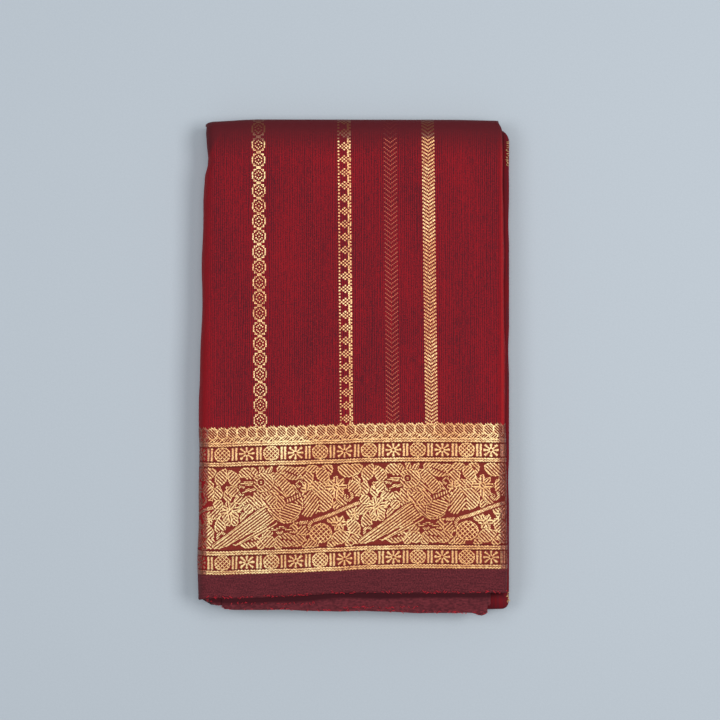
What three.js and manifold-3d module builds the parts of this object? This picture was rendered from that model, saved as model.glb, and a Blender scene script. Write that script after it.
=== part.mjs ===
// A woven saree, folded for the shelf and lying flat: twice across its width, then end to end
// until it is a stack of leaves. Millimetres, +Z up, the far fold of the cover at +Y.
// Its one long cloth shows as these stretches: a cover that runs over the top, round the rounded
// left fold and along the underside, the dark edges of two leaves below it, and one lower leaf
// that stands out at the right. The leaves that nothing shows share one solid, layered at its edges.
import * as THREE from "three";
import Module from "manifold-3d";
import { mergeVertices } from "three/addons/utils/BufferGeometryUtils.js";

const wasm = await Module();
wasm.setup();

// Driving sizes of the cloth and of its fold
const CLOTH_WIDTH = 1200;
const CLOTH_LENGTH = 6200;
const LEAF_LENGTH = CLOTH_WIDTH / 4;
const LEAF_WIDTH = CLOTH_LENGTH / 32;
const STACK_HEIGHT = 22;
const WALL = 1.2;
const SEAM = 0.3;
const CROWN = 0.5;

// Bands of the cover, measured up from its free edge
const EDGE_BAND = 14.2;
const ZARI_BAND = 92.3;

// The cover's edges. side: where its left fold and right fold stand at each y.
// near: how far its free edge stands from the straight line at each x.
const HALF_WIDTH = LEAF_WIDTH / 2;
const FAR_Y = 155.8;
const NEAR_Y = FAR_Y - LEAF_LENGTH;
const SIDES = [
  { y: -146, left: -HALF_WIDTH - 1.1, right: HALF_WIDTH - 2.7 },
  { y: -20, left: -HALF_WIDTH + 0.2, right: HALF_WIDTH - 3.9 },
  { y: 105, left: -HALF_WIDTH + 2.7, right: HALF_WIDTH - 4.7 },
  { y: 120, left: -HALF_WIDTH + 3.7, right: HALF_WIDTH - 4.9 },
  { y: 132, left: -HALF_WIDTH + 5.4, right: HALF_WIDTH - 5.1 },
  { y: 143, left: -HALF_WIDTH + 4.2, right: HALF_WIDTH - 5.3 },
  { y: 156, left: -HALF_WIDTH + 4.4, right: HALF_WIDTH - 5.9 },
];
const NEAR_EDGE = [
  { x: -98, out: -1.2 },
  { x: -59, out: 0.4 },
  { x: -8, out: 1.0 },
  { x: 48, out: 3.9 },
  { x: 95, out: 2.3 },
];
const FAR_EDGE = [
  { x: -94, out: -1.5 },
  { x: -59, out: 0 },
  { x: 60, out: -0.2 },
  { x: 95, out: -0.8 },
];

// The three rounds that the cover makes
const SPINE_DEPTH = 5.5;
const SPINE_MIDDLE = STACK_HEIGHT / 2;
const NOSE_DEPTH = 2.4;
const NOSE_LOW = 13;
const NOSE_TURN = 140;
const SHOULDER_LENGTH = 10.7;
const SHOULDER_DROP = 8;
const NOSE_LATE_DROP = 1.5;
const NOSE_DROP_SHARE = 0.75;
// How much further the underside reaches than the top's flat stretch, and how much less to the right
const UNDER_FAR = 4.5;
const UNDER_RIGHT = 1;

// Leaves below the cover, from the top down, with the limits of each between its rounded edges.
// farCorner and nearCorner are the radii of its corners at the right.
const SECOND = {
  low: 19.3, high: 20.5, left: -81.6, right: 84, near: -153.6, far: 144, farCorner: 6, nearCorner: 1.5,
};
const THIRD = {
  low: 17.8, high: 19.0, left: -87.0, right: 86, near: -149.6, far: 147.6, farCorner: 6, nearCorner: 2,
};
const LOWER = {
  low: 10.1, high: 12.7, left: -91, right: 97.6, near: -151.7, far: 150.4, farCorner: 13, nearCorner: 5,
};
// What shows of the lower leaf is a strip this wide, in a groove that leaves it this much room.
const LOWER_REACH = 26;
const LOWER_ROOM = 0.4;
const HIDDEN_ROOM = 0.8;
// Each hidden leaf starts this far above the last one's top, so that no two outlines share a height.
const LEDGE = 0.03;
// Bulge of the second leaf's free edge, towards its right end
const SECOND_NEAR = [
  { x: -82, out: 1.2 },
  { x: -60, out: 1.0 },
  { x: 0, out: 0.7 },
  { x: 60, out: -0.3 },
  { x: 74, out: -0.4 },
  { x: 80, out: -2.2 },
  { x: 84, out: -0.6 },
];
// Hidden leaves. Their left edges follow the inside of the left fold.
const HIDDEN = [
  { low: 1.5, high: 3.2, right: 94.6, near: -148.2, far: 148.6, farCorner: 11 },
  { low: 3.2, high: 5.4, right: 96.4, near: -150.4, far: 150.2, farCorner: 12 },
  { low: 5.4, high: 7.4, right: 95.6, near: -149.4, far: 149.2, farCorner: 12 },
  { low: 7.4, high: 9.8, right: 97.0, near: -151.0, far: 150.8, farCorner: 13 },
  {
    low: 9.8, high: 13.0, right: LOWER.right - LOWER_REACH - LOWER_ROOM,
    near: LOWER.near + LOWER_REACH + LOWER_ROOM, far: 151, farCorner: 8,
  },
  { low: 13.0, high: 15.2, right: 89.6, near: -140.0, far: 151.6, farCorner: 6 },
  { low: 15.2, high: 17.5, right: 88.4, near: -141.0, far: 150.0, farCorner: 6 },
];

// Rounds of the leaves' edges and corners, and the shares of a leaf's height that its edge passes
const HIDDEN_ROUND = 1.0;
const HIDDEN_NEAR_CORNER = 3;
const LEAST_ROUND = 0.2;
const LEVELS = [-1, -0.7, 0, 0.7, 1];

// Steps of the meshes
const SELVEDGE_STEPS = 2;
const BORDER_STEPS = 5;
const BODY_STEPS = 14;
const NEAR_STEPS = 12;
const RIGHT_STEPS = 5;
const FAR_STEPS = 6;
const NOSE_STEPS = 6;
const TOP_STEPS = 12;
const SPINE_STEPS = 6;
const SHOULDER_STEPS = 6;
const CORNER_STEPS = 5;
const LEFT_STEPS = 20;

// Reads one column of a table at a place, eased from row to row.
function read(table, key, column, at) {
  if (at <= table[0][key]) return table[0][column];
  for (let i = 1; i < table.length; i++) {
    const a = table[i - 1];
    const b = table[i];
    if (at <= b[key]) {
      const t = (at - a[key]) / (b[key] - a[key]);
      return a[column] + (b[column] - a[column]) * t * t * (3 - 2 * t);
    }
  }
  return table[table.length - 1][column];
}

function span(from, to, steps) {
  return Array.from({ length: steps + 1 }, (_, i) => from + ((to - from) * i) / steps);
}
const radians = (degrees) => (degrees * Math.PI) / 180;

// The stack is a little higher at its middle. The floor face stays flat.
const CROWN_X = 100;
const CROWN_Y = 158;
function crown([x, y, z]) {
  const middle = Math.max(0, 1 - (x / CROWN_X) ** 2) * Math.max(0, 1 - (y / CROWN_Y) ** 2);
  return [x, y, z + CROWN * middle * (z / STACK_HEIGHT)];
}

// A closed BufferGeometry from points and faces, with its normals for shading.
function geometryOf(points, faces) {
  const geometry = new THREE.BufferGeometry();
  geometry.setAttribute("position", new THREE.Float32BufferAttribute(points.flat(), 3));
  geometry.setIndex(faces.flat());
  geometry.computeVertexNormals();
  return geometry;
}

// A wall of cloth: rows of points on its outer face, and the same rows moved in by its thickness.
function clothWall(rows, thickness) {
  const height = rows.length;
  const width = rows[0].length;
  const clamp = THREE.MathUtils.clamp;
  const at = (i, j) => new THREE.Vector3(...rows[clamp(i, 0, height - 1)][clamp(j, 0, width - 1)]);
  const inner = rows.map((row, i) =>
    row.map((point, j) => {
      const along = at(i + 1, j).sub(at(i - 1, j));
      const across = at(i, j + 1).sub(at(i, j - 1));
      const normal = across.cross(along).normalize();
      return new THREE.Vector3(...point).addScaledVector(normal, thickness).toArray();
    }),
  );
  const points = [...rows.flat(), ...inner.flat()].map(crown);
  const outside = (i, j) => i * width + j;
  const inside = (i, j) => height * width + i * width + j;
  const faces = [];
  const quad = (a, b, c, d) => faces.push([a, b, c], [a, c, d]);
  for (let i = 0; i < height - 1; i++) {
    for (let j = 0; j < width - 1; j++) {
      quad(outside(i, j), outside(i + 1, j), outside(i + 1, j + 1), outside(i, j + 1));
      quad(inside(i, j), inside(i, j + 1), inside(i + 1, j + 1), inside(i + 1, j));
    }
    quad(outside(i + 1, 0), outside(i, 0), inside(i, 0), inside(i + 1, 0));
    quad(outside(i, width - 1), outside(i + 1, width - 1), inside(i + 1, width - 1), inside(i, width - 1));
  }
  for (let j = 0; j < width - 1; j++) {
    quad(outside(0, j), outside(0, j + 1), inside(0, j + 1), inside(0, j));
    const last = height - 1;
    quad(outside(last, j + 1), outside(last, j), inside(last, j), inside(last, j + 1));
  }
  return geometryOf(points, faces);
}

// One row of the cover above the middle of the left fold: right nose, top, and the upper left fold.
function upperRow(y, top) {
  const left = read(SIDES, "y", "left", y);
  const right = read(SIDES, "y", "right", y);
  const drop = STACK_HEIGHT - top;
  const noseLow = NOSE_LOW - Math.max(0, drop - NOSE_LATE_DROP) * NOSE_DROP_SHARE;
  const noseHalf = (top - noseLow) / 2;
  const spineLow = SPINE_MIDDLE + SEAM / 2;
  const noseX = right - NOSE_DEPTH;
  const spineX = left + SPINE_DEPTH;
  const row = [];
  for (const turn of span(NOSE_TURN, 0, NOSE_STEPS)) {
    const x = noseX + NOSE_DEPTH * Math.sin(radians(turn));
    row.push([x, y, top - noseHalf + noseHalf * Math.cos(radians(turn))]);
  }
  for (const x of span(noseX, spineX, TOP_STEPS).slice(1, -1)) row.push([x, y, top]);
  for (const turn of span(0, 90, SPINE_STEPS)) {
    const x = spineX - SPINE_DEPTH * Math.sin(radians(turn));
    row.push([x, y, spineLow + (top - spineLow) * Math.cos(radians(turn))]);
  }
  return row;
}

// One row of the cover below that middle: the lower left fold and the underside, flat on the floor.
function lowerRow(y) {
  const left = read(SIDES, "y", "left", y);
  const right = read(SIDES, "y", "right", y) - UNDER_RIGHT;
  const spineHigh = SPINE_MIDDLE - SEAM / 2;
  const spineX = left + SPINE_DEPTH;
  const row = [];
  for (const turn of span(90, 180, SPINE_STEPS)) {
    const x = spineX - SPINE_DEPTH * Math.sin(radians(turn));
    row.push([x, y, spineHigh + spineHigh * Math.cos(radians(turn))]);
  }
  for (const x of span(spineX, right, TOP_STEPS).slice(1)) row.push([x, y, 0]);
  return row;
}

// Moves a row's points by the run of the free edge at the near end, or of the fold at the far end.
function shiftRow(row, nearShare, farShare) {
  return row.map(([x, y, z]) => [
    x,
    y + nearShare * read(NEAR_EDGE, "x", "out", x) + farShare * read(FAR_EDGE, "x", "out", x),
    z,
  ]);
}

const FAR_FLAT = NEAR_Y + LEAF_LENGTH - SHOULDER_LENGTH;
const BODY_FROM = EDGE_BAND + ZARI_BAND;
const shareFrom = (up) => [1 - up / (FAR_FLAT - NEAR_Y), up / (FAR_FLAT - NEAR_Y)];
// A stretch of the cover between two distances up from its free edge.
function flatRows(rowAt, from, to, steps) {
  return span(from, to, steps).map((up) => shiftRow(rowAt(NEAR_Y + up, STACK_HEIGHT), ...shareFrom(up)));
}
// The shoulder at the far end, where the top of the cover droops.
function shoulderRows() {
  return span(0, 90, SHOULDER_STEPS).slice(1).map((turn) => {
    const y = FAR_FLAT + SHOULDER_LENGTH * Math.sin(radians(turn));
    const top = STACK_HEIGHT - SHOULDER_DROP * (1 - Math.cos(radians(turn)));
    return shiftRow(upperRow(y, top), 0, 1);
  });
}

// Where the inside of the left fold stands at height z.
function insideSpine(z) {
  const room = SPINE_MIDDLE - WALL - SEAM;
  const depth = SPINE_DEPTH - WALL - SEAM;
  const rise = Math.min(1, Math.abs(z - SPINE_MIDDLE) / room);
  return SPINE_DEPTH - depth * Math.sqrt(1 - rise * rise);
}

// The outline of a leaf at one height: straight sides with steps, and a round at each right corner.
function leafRing(leaf, z, inset) {
  const hidden = leaf.left === undefined;
  const spineAt = (y) => read(SIDES, "y", "left", y) + insideSpine(z) + HIDDEN_ROOM;
  const leftAt = (y) => (hidden ? spineAt(y) : leaf.left) + inset;
  const right = leaf.right - inset;
  const near = leaf.near + inset;
  const far = leaf.far - inset;
  const farRadius = Math.max(LEAST_ROUND, leaf.farCorner - inset);
  const nearRadius = Math.max(LEAST_ROUND, (leaf.nearCorner ?? HIDDEN_NEAR_CORNER) - inset);
  const edge = leaf.nearEdge;
  const nearAt = (x) => near + (edge ? read(edge, "x", "out", x) : 0);
  const ring = [];
  const nearEnd = right - nearRadius;
  for (const x of span(leftAt(near), nearEnd, NEAR_STEPS).slice(0, -1)) ring.push([x, nearAt(x), z]);
  for (const turn of span(-90, 0, CORNER_STEPS)) {
    const x = right - nearRadius + nearRadius * Math.cos(radians(turn));
    ring.push([x, nearAt(x) + nearRadius + nearRadius * Math.sin(radians(turn)), z]);
  }
  const rightSide = span(near + nearRadius, far - farRadius, RIGHT_STEPS).slice(1, -1);
  for (const y of rightSide) ring.push([right, y, z]);
  for (const turn of span(0, 90, CORNER_STEPS)) {
    ring.push([
      right - farRadius + farRadius * Math.cos(radians(turn)),
      far - farRadius + farRadius * Math.sin(radians(turn)),
      z,
    ]);
  }
  for (const x of span(right - farRadius, leftAt(far), FAR_STEPS).slice(1)) ring.push([x, far, z]);
  for (const y of span(far, near, LEFT_STEPS).slice(1, -1)) ring.push([leftAt(y), y, z]);
  return ring;
}

// The rings of a leaf's rounded edge, from its lowest to its highest.
function edgeRings(leaf, roundness) {
  const half = (leaf.high - leaf.low) / 2;
  return LEVELS.map((level) =>
    leafRing(leaf, leaf.low + half + half * level, roundness * (1 - Math.sqrt(1 - level * level))),
  );
}

// A closed solid through a list of rings, each with the same number of points.
function loft(rings) {
  const count = rings[0].length;
  const points = rings.flat().map(crown);
  const faces = [];
  for (let i = 0; i < rings.length - 1; i++) {
    for (let j = 0; j < count; j++) {
      const k = (j + 1) % count;
      const [a, b, c, d] = [i * count + j, i * count + k, (i + 1) * count + k, (i + 1) * count + j];
      faces.push([a, b, c], [a, c, d]);
    }
  }
  const cap = (ring) => THREE.ShapeUtils.triangulateShape(ring.map(([x, y]) => new THREE.Vector2(x, y)), []);
  const last = (rings.length - 1) * count;
  for (const [a, b, c] of cap(rings[0])) faces.push([a, c, b]);
  for (const [a, b, c] of cap(rings.at(-1))) faces.push([last + a, last + b, last + c]);
  return geometryOf(points, faces);
}

function solidOf(geometry) {
  return new wasm.Manifold(
    new wasm.Mesh({
      numProp: 3,
      vertProperties: geometry.getAttribute("position").array,
      triVerts: new Uint32Array(geometry.getIndex().array),
    }),
  );
}

function meshGeometry(solid) {
  const { vertProperties, triVerts } = solid.getMesh();
  const geometry = new THREE.BufferGeometry();
  geometry.setAttribute("position", new THREE.BufferAttribute(vertProperties, 3));
  geometry.setIndex(new THREE.BufferAttribute(triVerts, 1));
  geometry.computeVertexNormals();
  return geometry;
}

// The lower leaf shows only along its right and near edges, so the rest of it is cut away.
function lowerLeaf() {
  const side = 2 * LEAF_LENGTH;
  const box = new THREE.BoxGeometry(side, side, STACK_HEIGHT);
  box.deleteAttribute("normal");
  box.deleteAttribute("uv");
  box.translate(LOWER.right - LOWER_REACH - side / 2, LOWER.near + LOWER_REACH + side / 2, SPINE_MIDDLE);
  const leaf = solidOf(loft(edgeRings(LOWER, (LOWER.high - LOWER.low) / 2)));
  return meshGeometry(leaf.subtract(solidOf(mergeVertices(box))));
}

const bodyCloth = new THREE.MeshStandardMaterial({ color: 0x82182a, roughness: 0.62, metalness: 0.0 });
const zariCloth = new THREE.MeshStandardMaterial({ color: 0xc98f58, roughness: 0.42, metalness: 0.5 });
const edgeCloth = new THREE.MeshStandardMaterial({ color: 0x5a2229, roughness: 0.6, metalness: 0.0 });

const saree = new THREE.Group();
function add(name, geometry, cloth) {
  const mesh = new THREE.Mesh(geometry, cloth);
  mesh.name = name;
  saree.add(mesh);
}

// A stretch of the cover as a wall, between two distances up from its free edge
const stretch = (rowAt, from, to, steps) => clothWall(flatRows(rowAt, from, to, steps), WALL);
const bodyTop = FAR_FLAT - NEAR_Y;
const frontRows = [...flatRows(upperRow, BODY_FROM, bodyTop, BODY_STEPS), ...shoulderRows()];
const hiddenRings = HIDDEN.flatMap((leaf) => edgeRings({ ...leaf, low: leaf.low + LEDGE }, HIDDEN_ROUND));

add("front_selvedge", stretch(upperRow, 0, EDGE_BAND - SEAM, SELVEDGE_STEPS), edgeCloth);
add("front_zari_border", stretch(upperRow, EDGE_BAND, BODY_FROM - SEAM, BORDER_STEPS), zariCloth);
add("front_body", clothWall(frontRows, WALL), bodyCloth);
add("second_leaf_selvedge", loft(edgeRings({ ...SECOND, nearEdge: SECOND_NEAR }, WALL / 2)), edgeCloth);
add("third_leaf_selvedge", loft(edgeRings(THIRD, WALL / 2)), edgeCloth);
add("lower_leaf", lowerLeaf(), bodyCloth);
add("hidden_leaves", loft(hiddenRings), bodyCloth);
add("back_selvedge", stretch(lowerRow, 0, EDGE_BAND - SEAM, SELVEDGE_STEPS), edgeCloth);
add("back_zari_border", stretch(lowerRow, EDGE_BAND, BODY_FROM - SEAM, BORDER_STEPS), zariCloth);
add("back_body", stretch(lowerRow, BODY_FROM, bodyTop + UNDER_FAR, BODY_STEPS), bodyCloth);

// The part's origin is the middle of its footprint, on the surface that it lies on.
const box = new THREE.Box3().setFromObject(saree);
const middle = box.getCenter(new THREE.Vector3());
saree.position.set(-middle.x, -middle.y, -box.min.z);

export default saree;
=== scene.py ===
# %% [markdown]
# # A folded saree
#
# A saree is one woven length of cloth, about six metres by one point two. Folded twice across its
# width and then end to end, it becomes a stack of thin leaves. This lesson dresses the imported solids
# of such a stack: one cover sheet that runs over the top, round the left fold and along the
# underside, the edges of the leaves below it, and the gold-thread weaving that lies on the cover.

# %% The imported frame
import math

import bpy
import mathutils
import numpy as np
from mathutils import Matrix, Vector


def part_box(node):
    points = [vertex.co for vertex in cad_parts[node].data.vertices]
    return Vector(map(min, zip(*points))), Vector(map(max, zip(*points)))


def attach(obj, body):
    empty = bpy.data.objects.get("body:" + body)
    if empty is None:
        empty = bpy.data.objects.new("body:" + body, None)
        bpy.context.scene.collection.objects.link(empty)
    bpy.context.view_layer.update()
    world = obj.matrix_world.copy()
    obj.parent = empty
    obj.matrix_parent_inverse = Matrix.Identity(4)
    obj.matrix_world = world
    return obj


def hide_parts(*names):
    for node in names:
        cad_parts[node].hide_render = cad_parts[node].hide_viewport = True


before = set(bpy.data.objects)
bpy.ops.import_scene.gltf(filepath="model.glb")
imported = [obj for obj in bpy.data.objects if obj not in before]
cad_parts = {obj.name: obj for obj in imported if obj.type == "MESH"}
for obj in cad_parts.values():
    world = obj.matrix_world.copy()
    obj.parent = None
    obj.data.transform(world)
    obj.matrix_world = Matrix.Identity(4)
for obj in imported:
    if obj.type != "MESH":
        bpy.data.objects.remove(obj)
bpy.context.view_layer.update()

MM = 0.001

# %% [markdown]
# ## Sizes of the fold
#
# The solids were built from a few sizes: how wide a folded leaf is, how high the stack is, and where
# the left fold and the right fold of the cover run. The same sizes are used here in millimetres, in
# the drawing's own axes. The frame says how far that drawing was moved to stand on its origin, so a
# single shift takes every point to its place.

# %% Sizes of the fold, in millimetres
LEAF_LENGTH = 300.0
LEAF_WIDTH = 193.75
HALF_WIDTH = LEAF_WIDTH / 2
FAR_Y = 155.8
NEAR_Y = FAR_Y - LEAF_LENGTH
HEIGHT = 22.0
SHELL = 0.5
SPINE_DEPTH = 5.5
SPINE_MIDDLE = HEIGHT / 2
NOSE_DEPTH = 2.4
NOSE_LOW = 13.0
NOSE_TURN = 140.0
NOSE_LATE_DROP = 1.5
NOSE_DROP_SHARE = 0.75
SHOULDER_LENGTH = 10.7
SHOULDER_DROP = 8.0
CROWN = 0.5
CROWN_REACH_X = 100.0
CROWN_REACH_Y = 158.0
FAR_FLAT = FAR_Y - SHOULDER_LENGTH
LOWER_RIGHT = 97.6
SHIFT_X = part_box("lower_leaf")[1][0] / MM - LOWER_RIGHT
SHIFT_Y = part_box("front_body")[1][1] / MM - FAR_Y

# Where the cover's left and right folds run: y, left, right
SIDES = np.array([
    (-146.0, -HALF_WIDTH - 1.1, HALF_WIDTH - 0.7),
    (-122.0, -HALF_WIDTH - 1.2, HALF_WIDTH - 0.4),
    (-20.0, -HALF_WIDTH - 0.4, HALF_WIDTH - 1.6),
    (60.0, -HALF_WIDTH + 1.3, HALF_WIDTH - 2.4),
    (105.0, -HALF_WIDTH + 2.3, HALF_WIDTH - 2.8),
    (120.0, -HALF_WIDTH + 2.7, HALF_WIDTH - 3.1),
    (131.0, -HALF_WIDTH + 4.7, HALF_WIDTH - 3.2),
    (143.0, -HALF_WIDTH + 3.9, HALF_WIDTH - 3.4),
    (149.0, -HALF_WIDTH + 3.7, HALF_WIDTH - 3.7),
    (156.0, -HALF_WIDTH + 4.2, HALF_WIDTH - 5.8),
])
# How far the rows of the border stand from a straight line near the free edge: x, out
NEAR_EDGE = np.array([
    (-98.0, -0.9), (-83.0, -1.2), (-65.0, -0.55), (-40.0, 0.15), (-15.0, 1.3), (10.0, 2.65),
    (36.0, 3.2), (61.0, 3.05), (80.0, 3.0), (95.0, 2.9),
])
# How far the free edge itself strays from those rows: x, out
EDGE_STRAY = np.array([
    (-98.0, -1.4), (-92.0, 0.0), (-86.0, 0.5), (-70.0, -0.15), (-45.0, 0.3), (-25.0, 0.6),
    (-7.0, 1.0), (4.0, 0.2), (34.0, -0.85), (66.0, -0.65), (92.0, -0.3),
])
STRAY_REACH = 9.0
# The same for the far fold: x, out
FAR_EDGE = np.array([(-94.0, -1.5), (-59.0, 0.0), (60.0, -0.2), (95.0, -0.8)])


def eased(table, at, column=1):
    """Reads a column of a table at each place, eased from row to row."""
    at = np.asarray(at, float)
    i = np.clip(np.searchsorted(table[:, 0], at, side="right") - 1, 0, len(table) - 2)
    t = np.clip((at - table[i, 0]) / (table[i + 1, 0] - table[i, 0]), 0, 1)
    t = t * t * (3 - 2 * t)
    return table[i, column] * (1 - t) + table[i + 1, column] * t


def placed(points):
    """Drawing points in millimetres to frame points in metres, with the stack's slight crown."""
    points = np.array(points, float)
    x, y, z = points[..., 0], points[..., 1], points[..., 2]
    across = np.clip(1 - (x / CROWN_REACH_X) ** 2, 0, None)
    along = np.clip(1 - (y / CROWN_REACH_Y) ** 2, 0, None)
    z = z + CROWN * across * along * z / HEIGHT
    return np.stack([x + SHIFT_X, y + SHIFT_Y, z], -1) * MM


print("drawing moved by", round(SHIFT_X, 3), round(SHIFT_Y, 3), "mm")

# %% [markdown]
# ## The cover sheet as a grid
#
# The cover is one sheet of cloth, so it is one grid of points: columns run across it, from inside the
# right fold over the top, round the left fold and along the underside, and rows run up from its free
# edge to the far fold. Each point keeps where it lies on the flat cloth as its UV, in metres: u across
# and v up from the free edge. Everything woven into the cloth is placed by that UV later, so the
# pattern bends with the sheet.

# %% Rows and columns of the cover
NOSE_STEPS = 10
TOP_STEPS = 112
SPINE_STEPS = 24
UNDER_STEPS = 44
FLAT_ROWS = 168
SHOULDER_ROWS = 12
CURL_ROWS = 8
CURL_RADIUS = 2.2
CURL_TURN = 130.0
UNDER_END = 9.0
UNDER_RISE = 1.6
UNDER_TURN = 0.8
UNDER_RIGHT = 1.0
SPINE_CLOTH = 27.3
FLOOR_GAP = 0.12


def cover_rows():
    """Each row: v on the flat cloth, y and top of its upper part, y and bottom of its under part,
    and how far it has gone from the free edge to the far fold."""
    rows = []
    for v in np.linspace(0, FAR_FLAT - NEAR_Y, FLAT_ROWS + 1):
        share = v / (FAR_FLAT - NEAR_Y)
        rows.append((v, NEAR_Y + v, HEIGHT, NEAR_Y + v, 0.0, share))
    v = FAR_FLAT - NEAR_Y
    arc = 0.5 * math.pi * math.sqrt((SHOULDER_LENGTH**2 + SHOULDER_DROP**2) / 2)
    for q in np.linspace(0, 1, SHOULDER_ROWS + 1)[1:]:
        a = q * math.pi / 2
        b = a * UNDER_TURN
        rows.append((v + q * arc, FAR_FLAT + SHOULDER_LENGTH * math.sin(a),
                     HEIGHT - SHOULDER_DROP * (1 - math.cos(a)),
                     FAR_FLAT + UNDER_END * math.sin(b), UNDER_RISE * (1 - math.cos(b)), 1.0))
    v += arc
    for q in np.linspace(0, 1, CURL_ROWS + 1)[1:]:
        a = math.radians(q * CURL_TURN)
        b = math.pi / 2 * (UNDER_TURN + (1 - UNDER_TURN) * q)
        rows.append((v + a * CURL_RADIUS, FAR_Y - CURL_RADIUS * (1 - math.cos(a)),
                     HEIGHT - SHOULDER_DROP - CURL_RADIUS * math.sin(a),
                     FAR_FLAT + UNDER_END * math.sin(b), UNDER_RISE * (1 - math.cos(b)), 1.0))
    return np.array(rows)


def cover_row(y, top, under_y, bottom):
    """One row of the cover: its points, and how far across the flat cloth each one lies."""
    left = float(eased(SIDES, y, 1))
    right = float(eased(SIDES, y, 2))
    nose_low = NOSE_LOW - max(0.0, HEIGHT - top - NOSE_LATE_DROP) * NOSE_DROP_SHARE
    half = (top - nose_low) / 2
    nose_x, spine_x = right - NOSE_DEPTH, left + SPINE_DEPTH
    nose_cloth = math.pi * math.sqrt((NOSE_DEPTH**2 + half**2) / 2)
    row, across = [], []
    for turn in np.linspace(NOSE_TURN, 0, NOSE_STEPS + 1):
        a = math.radians(turn)
        row.append((nose_x + NOSE_DEPTH * math.sin(a), y, top - half + half * math.cos(a)))
        across.append(nose_x + nose_cloth * turn / 180)
    for x in np.linspace(nose_x, spine_x, TOP_STEPS + 1)[1:-1]:
        row.append((x, y, top))
        across.append(x)
    for turn in np.linspace(0, 180, SPINE_STEPS + 1):
        a = math.radians(turn)
        w = (turn / 180) ** 2 * (3 - 2 * turn / 180)
        reach = top - SPINE_MIDDLE if turn < 90 else SPINE_MIDDLE - bottom
        row.append((spine_x - SPINE_DEPTH * math.sin(a), y * (1 - w) + under_y * w,
                    SPINE_MIDDLE + reach * math.cos(a)))
        across.append(spine_x - SPINE_CLOTH * turn / 180)
    for x in np.linspace(spine_x, right - UNDER_RIGHT, UNDER_STEPS + 1)[1:]:
        row.append((x, under_y, bottom))
        across.append(spine_x - SPINE_CLOTH - (x - spine_x))
    return np.array(row), np.array(across)


def cover_grid():
    """Points and flat-cloth places of the cover, as (rows, columns) arrays."""
    points, places = [], []
    for v, y, top, under_y, bottom, share in cover_rows():
        row, across = cover_row(y, top, under_y, bottom)
        row[:, 1] += (1 - share) * eased(NEAR_EDGE, row[:, 0]) + share * eased(FAR_EDGE, row[:, 0])
        row[:, 1] += math.exp(-((v / STRAY_REACH) ** 2)) * eased(EDGE_STRAY, row[:, 0])
        points.append(row)
        places.append(np.stack([across, np.full(len(across), v)], -1))
    return np.array(points), np.array(places)


grid, flat_place = cover_grid()
print("cover grid", grid.shape, "flat width, mm:", round(float(np.ptp(flat_place[..., 0])), 1))

# %% [markdown]
# ## Creases and the lie of the cloth
#
# Pressed cloth is never quite flat. The stack below prints through as broad soft swells, the free edge
# lifts and dips, and a pull at the far left corner has left a dog-ear with a few creases running out
# of it. Each crease is a row of a table: its two ends, how deep it is, and how wide. A trough is
# negative and a ridge is positive, and both fade towards their ends.

# %% Swells, creases and the drawn-in corner
# x0, y0, x1, y1, depth, width
CREASES = [
    (-91.5, 131.5, -77.0, 150.5, -0.75, 2.6),
    (-90.0, 126.0, -72.0, 121.0, 0.28, 2.4),
    (-90.5, 134.0, -66.0, 139.5, -0.30, 3.2),
    (-91.0, 116.0, -74.0, 108.0, -0.22, 2.6),
    (-88.0, 96.0, -80.0, 30.0, 0.22, 3.4),
    (-84.0, 40.0, -87.0, -28.0, -0.20, 3.0),
    (-70.0, 118.0, -52.0, 92.0, -0.16, 3.6),
    (-30.0, 140.0, -24.0, 60.0, 0.16, 5.0),
    (12.0, 138.0, 8.0, 20.0, -0.16, 6.0),
    (66.0, 140.0, 78.0, 62.0, -0.20, 4.5),
    (86.0, 128.0, 80.0, 96.0, 0.24, 3.0),
    (84.0, 30.0, 88.0, -40.0, -0.20, 3.2),
    (-40.0, 8.0, 30.0, -14.0, -0.12, 5.0),
    (30.0, 60.0, 84.0, 44.0, 0.12, 5.5),
    (-96.0, -128.0, -70.0, -143.0, -0.30, 4.0),
    (60.0, -142.0, 92.0, -128.0, -0.35, 4.5),
    (-20.0, -146.0, 20.0, -132.0, 0.22, 5.0),
]
# wave length x, wave length y, phase, height
SWELLS = [
    (150.0, 210.0, 0.6, 0.22),
    (88.0, -140.0, 2.1, 0.13),
    (-61.0, 97.0, 4.0, 0.09),
    (47.0, 260.0, 1.3, 0.06),
    (-230.0, 58.0, 5.2, 0.07),
]
EDGE_DROOP = 0.55
EDGE_WAVE = 0.28
EDGE_REACH = 7.0
# How a crease wanders from its line, and the shares of its length over which it fades in and out
CREASE_WANDER = 0.8
CREASE_BENDS = 3.1
CREASE_FADE_IN = 0.3
CREASE_FADE_OUT = 0.45


def lie_of_cloth(x, y):
    """How far the top of the cloth stands above its even form, at each x and y."""
    lift = np.zeros_like(x)
    for length_x, length_y, phase, height in SWELLS:
        lift += height * np.sin(2 * math.pi * (x / length_x + y / length_y) + phase)
    for x0, y0, x1, y1, depth, width in CREASES:
        along = np.array([x1 - x0, y1 - y0])
        length = np.linalg.norm(along)
        along /= length
        s = (x - x0) * along[0] + (y - y0) * along[1]
        off = (y - y0) * along[0] - (x - x0) * along[1]
        off += CREASE_WANDER * np.sin(CREASE_BENDS * s / length + x0)
        ends = np.clip(s / (CREASE_FADE_IN * length), 0, 1)
        ends *= np.clip((length - s) / (CREASE_FADE_OUT * length), 0, 1)
        lift += depth * np.exp(-((off / width) ** 2)) * ends
    return lift


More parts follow.
